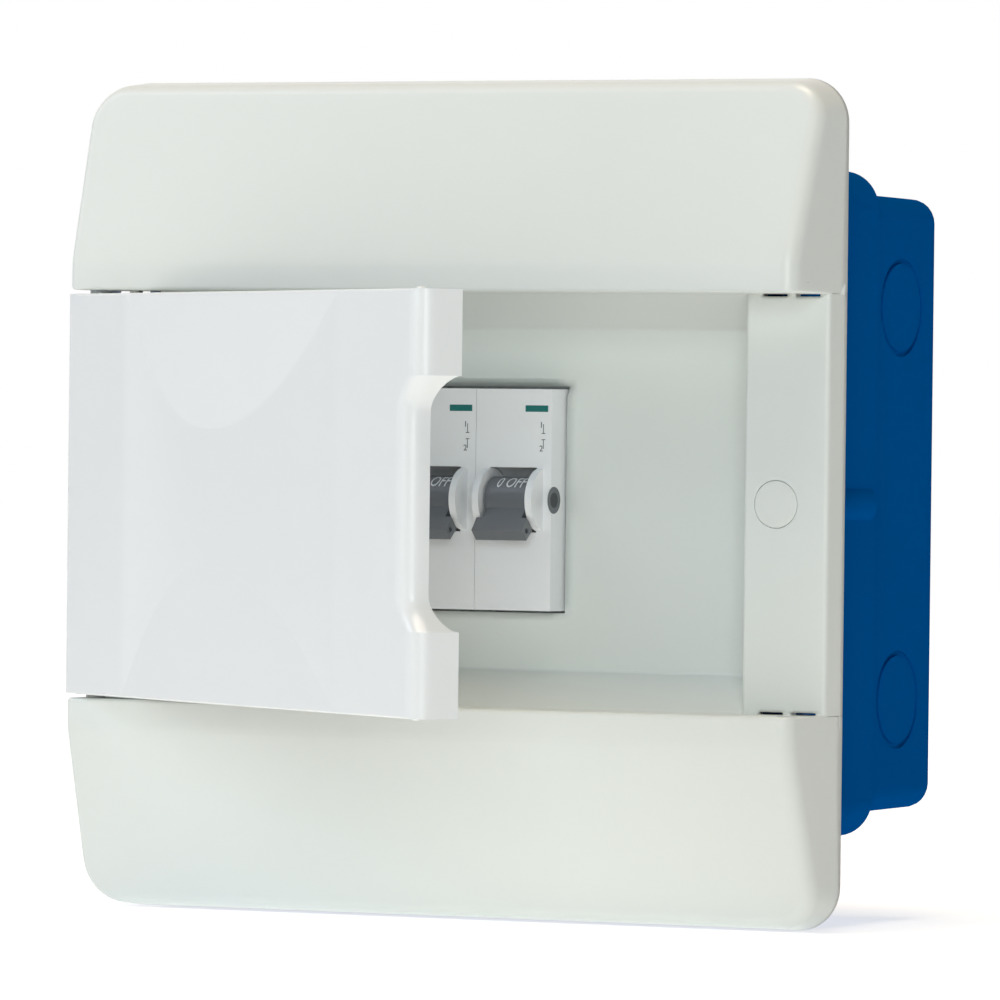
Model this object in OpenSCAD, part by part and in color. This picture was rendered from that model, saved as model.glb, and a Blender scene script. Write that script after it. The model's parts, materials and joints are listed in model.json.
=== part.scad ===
// Flush breaker panel: wall box, front cover with a hinged door, and two breakers on a rail.
// Millimetres, +Z up, the front faces -Y. The origin is the centre of the box's back face,
// and "out" below means the distance from that face towards the room.

/* [Front cover] */
// Width of the cover at the wall
cover_w = 170; // [168:1:190]
// Height of the cover at the wall
cover_h = 170; // [166:1:190]
// Radius of the cover's corners, seen from the front
cover_corner_r = 9; // [7:0.5:12]
// Wall of the cover
cover_wall = 2.2; // [1.8:0.1:2.6]
// How far the hoods' inner walls end in front of the wall's face
rib_relief = 1; // [0.6:0.1:1.2]
// How much the cover narrows to its front, on each side
cover_draft = 2; // [1:0.5:3]
// How far the hoods stand off the wall
hood_rise = 20; // [19:0.5:24]
// How far a hood stands off the wall at its outer edge
hood_edge_rise = 8.5; // [7.5:0.5:11]
// Height of the flat band along the inner edge of a hood
hood_band = 6; // [4:0.5:9]
// Rounding of the hoods' edges
hood_edge_r = 3.5; // [2.5:0.5:4]
// Clear height between the two hoods
opening_h = 83.8; // [80:0.2:88]
// How far the pillars stand off the wall
pillar_rise = 6.5; // [6:0.5:7.5]
// Clear width of the recess between the pillars
recess_w = 131.4; // [126:0.2:133]
// Depth of the recess floor behind the wall's face
recess_sink = 8; // [7:0.5:9]
// Height of the recess floor between its sloped walls
floor_h = 69.4; // [64:0.2:74]
// Clearance of the window around the breaker noses
window_clear = 0.5; // [0.3:0.1:1]
// Width of a moulding slot at a pillar's end
slot_w = 5.5; // [4:0.5:6]
// Height of a moulding slot at a pillar's end
slot_h = 0.5; // [0.4:0.1:0.8]

/* [Door] */
// Clearance between the door and each hood
door_gap = 0.8; // [0.7:0.1:1]
// Depth of the door's sides
door_t = 9.6; // [8.6:0.2:10]
// Wall of the door
door_wall = 2; // [1.6:0.1:2.4]
// Rounding of the door's free edge
door_nose_r = 3.8; // [2:0.2:5]
// Rounding of the door's hinge edge
door_heel_r = 2.4; // [1:0.2:3]
// Distance of the hinge axis from the door's hinge edge
hinge_inset = 3.5; // [3:0.1:4]
// Distance of the hinge axis behind the door's front face
hinge_set = 6; // [5:0.1:6.5]
// Radius of the hinge pegs
peg_r = 1.95; // [1.5:0.05:2.2]
// Length of a hinge peg, from the door's edge
peg_len = 2.4; // [1.8:0.1:2.6]
// Running clearance of the pegs, on the radius
peg_clear = 0.05; // [0.03:0.01:0.08]
// Wall of the bosses that carry the hinge pegs
peg_boss_wall = 1.05; // [0.8:0.05:1.2]
// Height of the bosses that carry the hinge pegs
peg_boss_h = 3.9; // [3:0.1:5]
// Angle at which the door stands open
door_open = 35.4; // [20:0.1:60]
// Depth of the dish in the door's face
dish_depth = 3; // [2:0.1:3.5]
// Width of the door's face left beside the dish, at the hinge edge
dish_left = 30; // [25:1:40]
// Width of the door's face left beside the dish, at the free edge
dish_right = 36; // [30:1:45]
// Height of the middle of the dish, between its two sloped ends
dish_mid = 28; // [20:1:36]
// Height of the finger notch in the free edge
notch_h = 51; // [40:1:60]
// Height of each rounded end of the finger notch
notch_end = 7; // [5:0.5:9]
// How far the finger notch is set in from the free edge
notch_set = 5; // [4:0.5:7]
// Thickness of the lip over the finger notch
notch_lip = 4.6; // [4:0.2:6]
// How far the space under the lip reaches in
notch_reach = 8; // [6:0.5:10]
// Height of a catch bump above the door's edge
catch_rise = 0.6; // [0.3:0.05:0.65]
// Radius of a catch bump's ball
catch_r = 1.2; // [1:0.1:1.5]
// Distance of the catch bumps from the door's free edge
catch_inset = 10.8; // [9:0.2:13]
// Clearance of a catch dimple around its bump
catch_clear = 0.3; // [0.2:0.1:0.5]
// Depth of a catch dimple
catch_dimple = 0.55; // [0.4:0.05:0.8]

/* [Wall box] */
// Depth of the box, from its back to the wall's face
box_depth = 67; // [66:0.5:75]
// Wall of the box
box_wall = 2; // [1.8:0.1:2.4]
// Width of the front collar
collar_w = 152; // [150:0.5:157]
// Height of the front collar
collar_h = 134.8; // [130:0.2:140]
// Depth of the front collar
collar_depth = 32.5; // [30:0.5:36]
// Corner radius of the collar
collar_corner_r = 8; // [6:0.5:10]
// How far the collar's edge lies behind the wall's face
collar_setback = 0.5; // [0.3:0.1:0.8]
// Width of the body behind the collar
body_w = 148; // [146:0.5:149]
// Height of the body behind the collar
body_h = 126; // [122:0.2:130]
// Corner radius of the body
body_corner_r = 5; // [5:0.5:8]
// Rounding of the body's back edge
body_back_r = 4.5; // [3:0.5:4.5]
// How much the body narrows to its back, on each side
body_draft = 0.5; // [0.3:0.1:1.5]
// Radius of a wall fixing hole
fixing_r = 2.5; // [2:0.1:3]
// Spacing of the wall fixing holes across
fixing_x = 80; // [76:1:90]
// Spacing of the wall fixing holes up and down
fixing_z = 100; // [92:1:104]
// Radius of a knock-out ring
knockout_r = 10; // [8:0.5:12]
// Width of a knock-out groove
knockout_w = 1; // [0.6:0.1:1.5]
// Depth of a knock-out groove
knockout_d = 0.6; // [0.4:0.1:0.8]
// Height of the side knock-outs above and below the middle
knockout_z = 40; // [30:1:44]
// Distance of the knock-outs in front of the box's back
knockout_out = 19; // [17:0.5:20]

/* [Cover screws] */
// Distance of a cover screw from the middle
screw_x = 72.8; // [72:0.1:73.5]
// Radius of a cover screw
screw_r = 2; // [1.5:0.1:2.2]
// Clearance around a screw, on the radius
screw_clear = 0.05; // [0.03:0.01:0.1]
// Length of a cover screw under its head
screw_len = 26; // [20:1:28]
// Radius of a cover screw's head
screw_head_r = 3.7; // [3.2:0.1:4]
// Height of a cover screw's head
screw_head_h = 2.4; // [2:0.1:2.6]
// Gap between a screw's head and its cap
cap_gap = 0.2; // [0.1:0.05:0.4]
// Radius of a screw cap
cap_r = 4.75; // [4.4:0.05:5]
// Thickness of a screw cap
cap_t = 1.4; // [1.2:0.1:1.5]
// Clearance around a screw cap, on the radius
cap_clear = 0.05; // [0.03:0.01:0.1]
// Wall of the well that holds a screw's head and cap
well_wall = 1.6; // [1.2:0.1:2]
// Radius of the box's boss for a cover screw
boss_r = 4.5; // [4.4:0.1:4.8]
// Depth of the box's boss for a cover screw
boss_len = 30; // [29:0.5:30.5]
// Width of a driver slot
driver_slot_w = 0.9; // [0.6:0.1:1.1]
// Depth of a driver slot
driver_slot_d = 0.8; // [0.6:0.1:1]

/* [Rail] */
// Height of the rail over its lips
rail_h = 35; // [35:0.5:36]
// Depth of the rail
rail_d = 7.5; // [7:0.5:8]
// Thickness of the rail's sheet
rail_t = 1; // [0.8:0.1:1.2]
// Height of the rail's channel
rail_channel_h = 27; // [25:0.5:27]
// Length of the rail
rail_len = 84; // [78:1:90]
// Height of the pads that the rail stands on
rail_pad_h = 1; // [0.6:0.1:1.5]
// Radius of the pads that the rail stands on
rail_pad_r = 5; // [4:0.5:7]
// Distance of a rail screw from the middle
rail_screw_x = 34; // [30:1:36]
// Radius of a rail screw's head
rail_head_r = 3.6; // [3:0.1:4]
// Height of a rail screw's head
rail_head_h = 2.2; // [1.8:0.1:2.4]
// Floor left under a screw hole in the box's back
blind_floor = 0.8; // [0.6:0.1:1]

/* [Breaker housing] */
// Pitch of the breakers along the rail
module_w = 17.5; // [17.5:0.1:18]
// Gap between neighbouring breakers
module_gap = 0.1; // [0.05:0.05:0.2]
// Height of a breaker's nose
nose_h = 45; // [44:0.2:46]
// Distance of the nose's face from the rail
nose_d = 54; // [53:0.5:56]
// Height of a breaker over its shoulders
shoulder_h = 83; // [80:0.5:86]
// Distance of the shoulders from the rail
shoulder_d = 44; // [43:0.5:45]
// How far a breaker reaches behind the rail's face
foot_d = 5; // [4.6:0.1:5.6]
// Wall of a breaker's shells
shell_wall = 1.3; // [1.2:0.1:1.6]
// Clearance of the foot and the clip around the rail
rail_clear = 0.15; // [0.1:0.05:0.25]
// How far the hook reaches behind the rail's lip
hook_reach = 3; // [2.4:0.1:3.2]
// Radius of a rivet
rivet_r = 1.45; // [1.2:0.05:1.6]
// Radius of a rivet's head
rivet_head_r = 2.3; // [2:0.1:2.6]
// Height of a rivet's head
rivet_head_h = 0.6; // [0.4:0.1:0.7]
// Clearance around a rivet, on the radius
rivet_clear = 0.05; // [0.03:0.01:0.1]
// Wall of the posts around the rivets
post_wall = 1.1; // [0.8:0.1:1.4]
// Distance of the rivets inside the shells' edges
rivet_inset = 4.2; // [4:0.1:5]
// Distance of the front rivets behind the nose's face
rivet_set = 9; // [8.5:0.1:9.5]

/* [Toggle] */
// Radius of a toggle's drum
drum_r = 4.7; // [4.4:0.1:5]
// Half width of a toggle's drum
drum_half_w = 4.8; // [4.4:0.1:5]
// Gap between a drum and the cheeks beside it
drum_gap = 0.55; // [0.4:0.05:0.7]
// Radius of the cheeks
cheek_r = 6.4; // [6.2:0.1:6.5]
// Thickness of a cheek
cheek_t = 1.5; // [1.4:0.1:1.8]
// How far the cheeks stand proud of the nose
cheek_rise = 5.2; // [4.8:0.1:5.6]
// Clearance of the nose's slot and trough around the drum
drum_slot_gap = 1.9; // [1.6:0.1:2.1]
// Radius of a toggle's pivots
pivot_r = 1.3; // [1:0.05:1.4]
// Running clearance of the pivots, on the radius
pivot_clear = 0.05; // [0.03:0.01:0.08]
// Length of a toggle's pivots inside the cheeks
pivot_len = 1; // [0.8:0.1:1.2]
// Reach of the lever from the pivot
lever_reach = 10.2; // [9.8:0.1:11]
// Thickness of the lever at its root
lever_root_t = 4.6; // [4:0.1:5]
// Thickness of the lever at its tip
lever_tip_t = 2.8; // [2.2:0.1:3]
// Step from the drum's ends in to the lever's neck
neck_step = 0.3; // [0.2:0.1:0.5]
// Half width of the lever's tip
lever_half_w = 5.8; // [5.4:0.1:6.4]
// Gap between the lever's wide tip and the cheeks
lever_gap = 0.4; // [0.3:0.1:0.6]
// Angle of the lever below level, when off
lever_off = 45; // [40:1:46]
// Radius of the locking hole through the lever's tip
lock_r = 0.6; // [0.5:0.05:0.7]
// Distance of the locking hole from the lever's tip
lock_inset = 1.4; // [1.3:0.1:1.8]

/* [Terminals] */
// Distance of a terminal screw from the breaker's end
terminal_inset = 8.5; // [8:0.1:9]
// Height of a terminal cage
cage_h = 9; // [8.6:0.1:9.4]
// Depth of a terminal cage
cage_d = 12; // [11:0.5:13]
// Distance of a terminal cage from the rail
cage_out = 20; // [19:0.5:21]
// Gap between a cage and the shells beside it
cage_gap = 0.2; // [0.1:0.05:0.3]
// Radius of the wire hole
wire_r = 3.2; // [2.8:0.1:3.4]
// Distance of the wire hole's axis from the cage's back
wire_set = 4.8; // [4.5:0.1:5]
// Radius of a terminal screw
terminal_screw_r = 1.95; // [1.8:0.05:2.1]
// Length of a terminal screw under its head
terminal_screw_len = 9.5; // [9:0.1:10]
// Radius of a terminal screw's head
terminal_head_r = 3; // [2.6:0.1:3.2]
// Height of a terminal screw's head
terminal_head_h = 2.4; // [2:0.1:2.6]
// Clearance around a terminal screw's head
terminal_head_clear = 0.3; // [0.2:0.1:0.5]

/* [Mechanism] */
// Height of the contact arm's pin above the middle
arm_pin_z = 3; // [2:0.5:4]
// Radius of the contact arm's pin
arm_pin_r = 1.2; // [1:0.05:1.4]
// Clearance of the contact arm's pin, on the radius
arm_pin_clear = 0.05; // [0.03:0.01:0.08]
// Depth of a pin's seat in each shell
arm_pin_seat = 0.6; // [0.4:0.1:0.7]
// Radius of the contact arm's eye
arm_eye_r = 2.6; // [2.4:0.1:2.8]
// Half width of the contact arm
arm_half_w = 2; // [1.6:0.1:2.4]
// Thickness of the contact arm
arm_t = 2; // [1.6:0.1:2.4]
// Length of the contact arm, from its pin
arm_len = 15; // [14:0.5:16]
// Swing of the contact arm from off to on
arm_swing = 16; // [14:1:18]
// Thickness of a contact pad
pad_t = 1.2; // [1:0.1:1.4]
// Length of a contact pad
pad_len = 4; // [3.5:0.1:4.5]
// Gap left between the contacts when on
contact_gap = 0.15; // [0.1:0.05:0.3]
// Thickness of the fixed contact's strip
strip_t = 1.2; // [1:0.1:1.5]
// Half width of the fixed contact's strip
strip_half_w = 2.5; // [2:0.1:3]
// Number of arc chute plates
chute_count = 6; // [5:1:7]
// Thickness of an arc chute plate
chute_t = 1; // [0.8:0.1:1.2]
// Pitch of the arc chute plates
chute_pitch = 2.8; // [2.6:0.1:3]
// Depth of the arc chute plates
chute_d = 12; // [10:0.5:13]
// Height of the lowest arc chute plate above the middle
chute_z = 4; // [3:0.5:5]
// Radius of the trip coil's flanges
coil_flange_r = 7.2; // [7:0.05:7.3]
// Thickness of the trip coil's flanges
coil_flange_t = 1.4; // [1.2:0.1:1.6]
// Radius of the trip coil's winding
coil_r = 5.6; // [5:0.1:6]
// Radius of the trip coil's core tube
coil_core_r = 3.4; // [3:0.1:3.6]
// Bore of the trip coil's core tube
coil_bore_r = 2; // [1.6:0.1:2.4]
// Length of the trip coil over its flanges
coil_len = 17; // [15:0.5:18]
// Thickness of the bimetal strip
bimetal_t = 1; // [0.8:0.1:1.2]
// Half width of the bimetal strip
bimetal_half_w = 3; // [2.5:0.1:3.5]
// Length of the bimetal strip
bimetal_len = 25; // [22:0.5:26]
// Distance of the bimetal strip from the rail
bimetal_d = 14; // [13:0.5:15]
// Half width of a rail clip
clip_half_w = 4; // [3.5:0.1:4.5]
// Thickness of a rail clip
clip_t = 2; // [1.8:0.1:2.2]
// Clearance of a rail clip in its guide
clip_clear = 0.05; // [0.03:0.01:0.1]
// How far a rail clip's tab stands below the breaker
clip_tab = 3.5; // [3:0.1:4]

/* [Neutral and earth bars] */
// Distance of a bar from the middle
bar_x = 56; // [55:0.5:57]
// Width of a bar
bar_w = 7; // [6:0.5:8]
// Depth of a bar
bar_d = 9; // [8:0.5:10]
// Number of terminals on a bar
bar_count = 5; // [4:1:6]
// Pitch of the terminals on a bar
bar_pitch = 9; // [8.5:0.5:9.5]
// Length of a bar past its outer terminals
bar_end = 5; // [4:0.5:6]
// Radius of the wire holes in a bar
bar_wire_r = 2.2; // [1.8:0.1:2.4]
// Distance of the wire holes from a bar's foot
bar_wire_set = 3.2; // [3:0.1:3.4]
// Radius of a bar's terminal screws
bar_screw_r = 1.7; // [1.4:0.1:1.9]
// Radius of a bar screw's head
bar_head_r = 2.4; // [2.2:0.1:2.8]
// Height of a bar screw's head
bar_head_h = 1.8; // [1.4:0.1:2]
// Width of a bar's carrier
carrier_w = 11; // [10:0.5:12]
// Height of the carrier's block under a bar
carrier_d = 9; // [7:0.5:11]
// Depth of the groove that a bar sits in
carrier_groove = 1.5; // [1:0.1:2]
// Clearance of a bar in its groove
carrier_clear = 0.1; // [0.05:0.05:0.2]
// Wall of a carrier past each end of its bar
carrier_wall = 2; // [1.5:0.1:3]
// Length of a carrier's feet
carrier_foot = 8; // [7.5:0.5:9]
// Thickness of a carrier's feet
carrier_foot_t = 3; // [2.5:0.1:3.5]
// Radius of a carrier screw
carrier_screw_r = 1.5; // [1.3:0.1:1.7]
// Radius of a carrier screw's head
carrier_head_r = 2.8; // [2.5:0.1:3]
// Height of a carrier screw's head
carrier_head_h = 1.8; // [1.4:0.1:2]
// Height of the box's pads under the carriers
carrier_pad_h = 1.5; // [1:0.1:2]

/* [Hidden] */
$fn = 64;
hull_fn = 24;
// How far a cut runs past the face that it opens
over = 1;
// Thickness of the flat slices that a blended block starts from
slice = 1;
// Least rounding left where a corner is drawn in by a wall's thickness
least_r = 0.5;

// Levels in front of the box's back
wall_out = box_depth;
collar_front = wall_out - collar_setback;
collar_back = wall_out - collar_depth;
pillar_out = wall_out + pillar_rise;
hood_out = wall_out + hood_rise;
floor_out = wall_out - recess_sink;
floor_back = floor_out - cover_wall;
rail_back = box_wall + rail_pad_h;
rail_face = rail_back + rail_d;
hinge_out = hood_out - hinge_set;

// Door, shut
door_w = cover_w - 2 * cover_draft;
door_h = opening_h - 2 * door_gap;
door_back = hood_out - door_t;
hinge_x = -door_w / 2 + hinge_inset;
catch_x = door_w / 2 - catch_inset;
notch_straight = notch_h / 2 - notch_end;
dish_w = door_w - dish_left - dish_right;
dish_x = (dish_left - dish_right) / 2;
dish_r = (pow(dish_w / 2, 2) + pow(dish_depth, 2)) / (2 * dish_depth);

// Hood slope: drop per millimetre of height, from the band to the outer edge
hood_band_z = opening_h / 2 + hood_band;
hood_fall = (hood_rise - hood_edge_rise) / (cover_h / 2 - hood_band_z);
hood_tilt = atan(hood_fall);

// Cover screws
seat_out = pillar_out - cap_t - cap_gap - screw_head_h;
well_r = cap_r + cap_clear;

// Breakers
breaker_x = [-module_w / 2, module_w / 2];
shell_half_w = (module_w - module_gap) / 2;
cavity_half_w = shell_half_w - shell_wall;
cheek_in = drum_half_w + drum_gap;
drum_d = nose_d + cheek_rise - cheek_r;
drum_slot_h = 2 * (drum_r + drum_slot_gap);
hook_z = rail_h / 2 + rail_clear;
lip_back = -rail_t - rail_clear;
clip_tip_z = -rail_h / 2 + hook_reach;
terminal_z = shoulder_h / 2 - terminal_inset;
wire_d = cage_out + wire_set;
terminal_head_d = wire_d + wire_r + screw_clear + terminal_screw_len;
contact_d = cage_out + strip_t;
rivet_places = [
    [nose_d - rivet_set, nose_h / 2 - rivet_inset],
    [nose_d - rivet_set, -nose_h / 2 + rivet_inset],
    [rivet_inset, shoulder_h / 2 - rivet_inset],
    [rivet_inset, -shoulder_h / 2 + rivet_inset]
];
// The contact arm stands upright on its contact when on, and leans to the front when off
arm_pin_d = contact_d + 2 * pad_t + contact_gap + arm_t / 2;
bimetal_z = -terminal_z + cage_h / 2;
coil_z = bimetal_z + bimetal_t;
coil_d = cage_out + cage_d / 2;

// Bars
bar_len = (bar_count - 1) * bar_pitch + 2 * bar_end;
carrier_back = box_wall + carrier_pad_h;
carrier_len = bar_len + 2 * (carrier_clear + carrier_wall);
bar_out = carrier_back + carrier_d - carrier_groove;
carrier_screw_z = carrier_len / 2 + carrier_foot / 2;

// A flat shape in X and Z, carried from one level to another
module slab(from, to) {
    rotate([90, 0, 0])
        translate([0, 0, from])
            linear_extrude(to - from)
                children();
}

// A flat shape in out and Z, carried along X
module along_x(from, to) {
    translate([from, 0, 0])
        mirror([0, 1, 0])
            rotate([90, 0, 90])
                linear_extrude(to - from)
                    children();
}

// A round bar square to the wall
module rod_out(x, z, r, from, to) {
    translate([x, -from, z])
        rotate([90, 0, 0])
            cylinder(r = r, h = to - from);
}

// A round bar across the panel
module rod_x(out, z, r, from, to) {
    translate([from, -out, z])
        rotate([0, 90, 0])
            cylinder(r = r, h = to - from);
}

// A round bar up the panel
module rod_z(x, out, r, from, to) {
    translate([x, -out, from])
        cylinder(r = r, h = to - from);
}

// A block given by its middle across and its limits out and up
module block(x, half_w, out, z) {
    translate([x - half_w, -out[1], z[0]])
        cube([2 * half_w, out[1] - out[0], z[1] - z[0]]);
}

module rounded_rect(w, h, r) {
    square([w - 2 * r, h], center = true);
    square([w, h - 2 * r], center = true);
    for (sx = [-1, 1], sz = [-1, 1])
        translate([sx * (w / 2 - r), sz * (h / 2 - r)])
            circle(r);
}

// A pan-headed screw with a driver slot, its head on a seat and its shank going in
module slotted_screw(x, z, seat, r, len, head_r, head_h) {
    difference() {
        union() {
            rod_out(x, z, r, seat - len, seat + head_h / 2);
            rod_out(x, z, head_r, seat, seat + head_h);
        }
        block(x, head_r + over, [seat + head_h - driver_slot_d, seat + head_h + over],
              [z - driver_slot_w / 2, z + driver_slot_w / 2]);
    }
}

// Wall box

module body_block(inset, front) {
    half_w = body_w / 2 - inset;
    half_h = body_h / 2 - inset;
    corner_r = body_corner_r - inset;
    edge_r = body_back_r - inset;
    hull() {
        slab(front - slice, front)
            rounded_rect(2 * half_w, 2 * half_h, corner_r, $fn = hull_fn);
        for (sx = [-1, 1], sz = [-1, 1])
            translate([sx * (half_w - body_draft - corner_r), -inset, sz * (half_h - body_draft - corner_r)])
                rotate([90, 0, 0])
                    rotate_extrude($fn = hull_fn) {
                        square([corner_r - edge_r, 2 * edge_r]);
                        translate([corner_r - edge_r, edge_r])
                            intersection() {
                                circle(edge_r, $fn = hull_fn);
                                translate([0, -edge_r])
                                    square([edge_r, 2 * edge_r]);
                            }
                    }
    }
}

module knockout_ring(depth) {
    difference() {
        cylinder(r = knockout_r, h = 2 * depth, center = true);
        cylinder(r = knockout_r - knockout_w, h = 3 * depth, center = true);
    }
}

module wall_box() {
    side_x = body_w / 2 - body_draft * (1 - knockout_out / collar_back);
    top_z = body_h / 2 - body_draft * (1 - knockout_out / collar_back);
    color("#014380")
    difference() {
        union() {
            difference() {
                union() {
                    body_block(0, collar_back + over);
                    slab(collar_back, collar_front)
                        rounded_rect(collar_w, collar_h, collar_corner_r);
                }
                body_block(box_wall, collar_back + box_wall + over);
                slab(collar_back + box_wall, collar_front + over)
                    rounded_rect(collar_w - 2 * box_wall, collar_h - 2 * box_wall,
                                 collar_corner_r - box_wall);
            }
            for (sx = [-1, 1]) {
                rod_out(sx * screw_x, 0, boss_r, collar_front - boss_len, collar_front);
                rod_out(sx * rail_screw_x, 0, rail_pad_r, box_wall / 2, rail_back);
                for (sz = [-1, 1])
                    rod_out(sx * bar_x, sz * carrier_screw_z, carrier_foot / 2, box_wall / 2, carrier_back);
            }
        }
        for (sx = [-1, 1]) {
            rod_out(sx * screw_x, 0, screw_r + screw_clear,
                    collar_front - boss_len + box_wall, collar_front + over);
            rod_out(sx * rail_screw_x, 0, screw_r + screw_clear, blind_floor, rail_back + over);
            for (sz = [-1, 1]) {
                rod_out(sx * bar_x, sz * carrier_screw_z, carrier_screw_r + screw_clear,
                        blind_floor, carrier_back + over);
                rod_out(sx * fixing_x / 2, sz * fixing_z / 2, fixing_r, -over, box_wall + over);
                translate([sx * side_x, -knockout_out, sz * knockout_z])
                    rotate([0, 90, 0])
                        knockout_ring(knockout_d);
                translate([sx * knockout_z, -knockout_out, sz * top_z])
                    knockout_ring(knockout_d);
            }
        }
    }
}

// Front cover

// One hood as a rounded block, drawn in by a wall's thickness for the hollow behind it
module hood_block(inset) {
    half_w = cover_w / 2 - inset;
    half_h = cover_h / 2 - inset;
    front = hood_out - inset;
    edge_r = hood_edge_r - inset / 2;
    corner_r = cover_corner_r - inset / 2;
    narrow = cover_draft / hood_rise;
    hull() {
        for (sx = [-1, 1]) {
            rod_out(sx * (half_w - corner_r), half_h - corner_r, corner_r,
                    wall_out, wall_out + slice, $fn = hull_fn);
            block(sx * (half_w - slice), slice, [wall_out, wall_out + slice], [0, slice]);
            for (z = [0, hood_band_z - edge_r * tan(hood_tilt / 2)])
                translate([sx * (half_w - cover_draft - edge_r), -front + edge_r, z])
                    sphere(edge_r, $fn = hull_fn);
            for (a = [0, 45, 90]) {
                z = half_h - corner_r + (corner_r - edge_r) * sin(a);
                out = front - hood_fall * (z - hood_band_z) - edge_r / cos(hood_tilt);
                x = half_w - corner_r + (corner_r - edge_r) * cos(a) - narrow * (out - wall_out);
                translate([sx * x, -out, z - narrow * (out - wall_out)])
                    sphere(edge_r, $fn = hull_fn);
            }
        }
    }
}

// Both hoods, cut off square beside the opening
module hoods(inset, opening) {
    for (flip = [0, 1])
        mirror([0, 0, flip])
            difference() {
                hood_block(inset);
                translate([-cover_w, -hood_out - over, -cover_h])
                    cube([2 * cover_w, hood_out + 2 * over, opening / 2 + cover_h]);
            }
}

// The recess, or its outside when grown by a wall's thickness
module recess_block(grow) {
    half_top = opening_h / 2 + grow;
    half_floor = floor_h / 2 + grow;
    along_x(-recess_w / 2 - grow, recess_w / 2 + grow)
        polygon([
            [pillar_out + (grow > 0 ? 0 : over), -half_top],
            [pillar_out, -half_top],
            [floor_out - grow, -half_floor],
            [floor_out - grow, half_floor],
            [pillar_out, half_top],
            [pillar_out + (grow > 0 ? 0 : over), half_top]
        ]);
}

// The plate between the hoods, or the hollow behind it
module pillar_zone(inset, front, half_h) {
    narrow = cover_draft * pillar_rise / hood_rise;
    half_w = cover_w / 2 - inset;
    rotate([0, 0, 180])
        translate([0, 0, -half_h])
            linear_extrude(2 * half_h)
                polygon([
                    [-half_w, wall_out], [half_w, wall_out],
                    [half_w - narrow, front], [-half_w + narrow, front]
                ]);
}

module front_cover() {
    window_w = 2 * module_w - module_gap + 2 * window_clear;
    window_h = nose_h + 2 * window_clear;
    slot_x = [abs(hinge_x), catch_x];
    color("#dce1dd")
    difference() {
        union() {
            difference() {
                union() {
                    hoods(0, opening_h);
                    pillar_zone(0, pillar_out, opening_h / 2 + cover_wall / 2);
                }
                hoods(cover_wall, opening_h + 2 * cover_wall);
                pillar_zone(cover_wall, pillar_out - cover_wall, opening_h / 2);
                // Only the outer rim reaches back to the wall
                slab(wall_out - over, wall_out + rib_relief)
                    rounded_rect(cover_w - 2 * cover_wall, cover_h - 2 * cover_wall,
                                 cover_corner_r - cover_wall / 2);
            }
            recess_block(cover_wall);
            for (sx = [-1, 1])
                rod_out(sx * screw_x, 0, well_r + well_wall, wall_out, pillar_out);
        }
        recess_block(0);
        slab(floor_back - over, floor_out + over)
            square([window_w, window_h], center = true);
        for (sx = [-1, 1]) {
            rod_out(sx * screw_x, 0, well_r, seat_out, pillar_out + over);
            rod_out(sx * screw_x, 0, screw_r + screw_clear, wall_out - over, seat_out + over);
            for (sz = [-1, 1]) {
                for (x = slot_x)
                    block(sx * x, slot_w / 2, [wall_out, pillar_out + over],
                          [sz * (opening_h / 2 - slot_h / 2) - slot_h / 2,
                           sz * (opening_h / 2 - slot_h / 2) + slot_h / 2]);
                translate([sx * hinge_x, -hinge_out, sz * (opening_h + cover_wall) / 2])
                    cylinder(r = peg_r + peg_clear, h = cover_wall + over, center = true);
                translate([sx * catch_x, -hinge_out, sz * opening_h / 2])
                    cylinder(r = catch_r + catch_clear, h = 2 * catch_dimple, center = true);
            }
        }
    }
}

// Door

// The door's plan, with a rounded free edge and hinge edge, drawn in by a wall's thickness
module door_plan(inset, back) {
    left = -door_w / 2 + inset;
    right = door_w / 2 - inset;
    front = hood_out - inset;
    nose_r = max(door_nose_r - inset, least_r);
    heel_r = max(door_heel_r - inset, least_r);
    polygon([
        [left, back], [right, back], [right, front - nose_r],
        [right - nose_r, front - nose_r], [right - nose_r, front],
        [left + heel_r, front], [left + heel_r, front - heel_r], [left, front - heel_r]
    ]);
    translate([right - nose_r, front - nose_r])
        circle(nose_r);
    translate([left + heel_r, front - heel_r])
        circle(heel_r);
}

// A plan shape in X and out, carried up the door
module up_door(half_h) {
    translate([0, 0, -half_h])
        mirror([0, 1, 0])
            linear_extrude(2 * half_h)
                children();
}

// The finger notch seen from the front, with a quarter ellipse at each end
module notch_plan() {
    edge = door_w / 2;
    end = [for (a = [90 : -15 : 0]) [edge - notch_set * cos(a), notch_straight + notch_end * sin(a)]];
    polygon(concat(
        end,
        [for (k = [len(end) - 1 : -1 : 0]) [end[k][0], -end[k][1]]],
        [[edge + over, -notch_h / 2], [edge + over, notch_h / 2]]
    ));
}

// The dish: a wide upright cylinder, cut off by sloped planes at the top and bottom
module dish(set) {
    intersection() {
        rod_z(dish_x, hood_out - set + dish_r - dish_depth, dish_r, -door_h, door_h);
        along_x(-door_w, door_w)
            polygon([
                [hood_out - set, -door_h / 2], [hood_out - set - dish_depth, -dish_mid / 2],
                [hood_out - set - dish_depth, dish_mid / 2], [hood_out - set, door_h / 2],
                [hood_out + dish_depth, door_h / 2], [hood_out + dish_depth, -door_h / 2]
            ]);
    }
}

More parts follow.
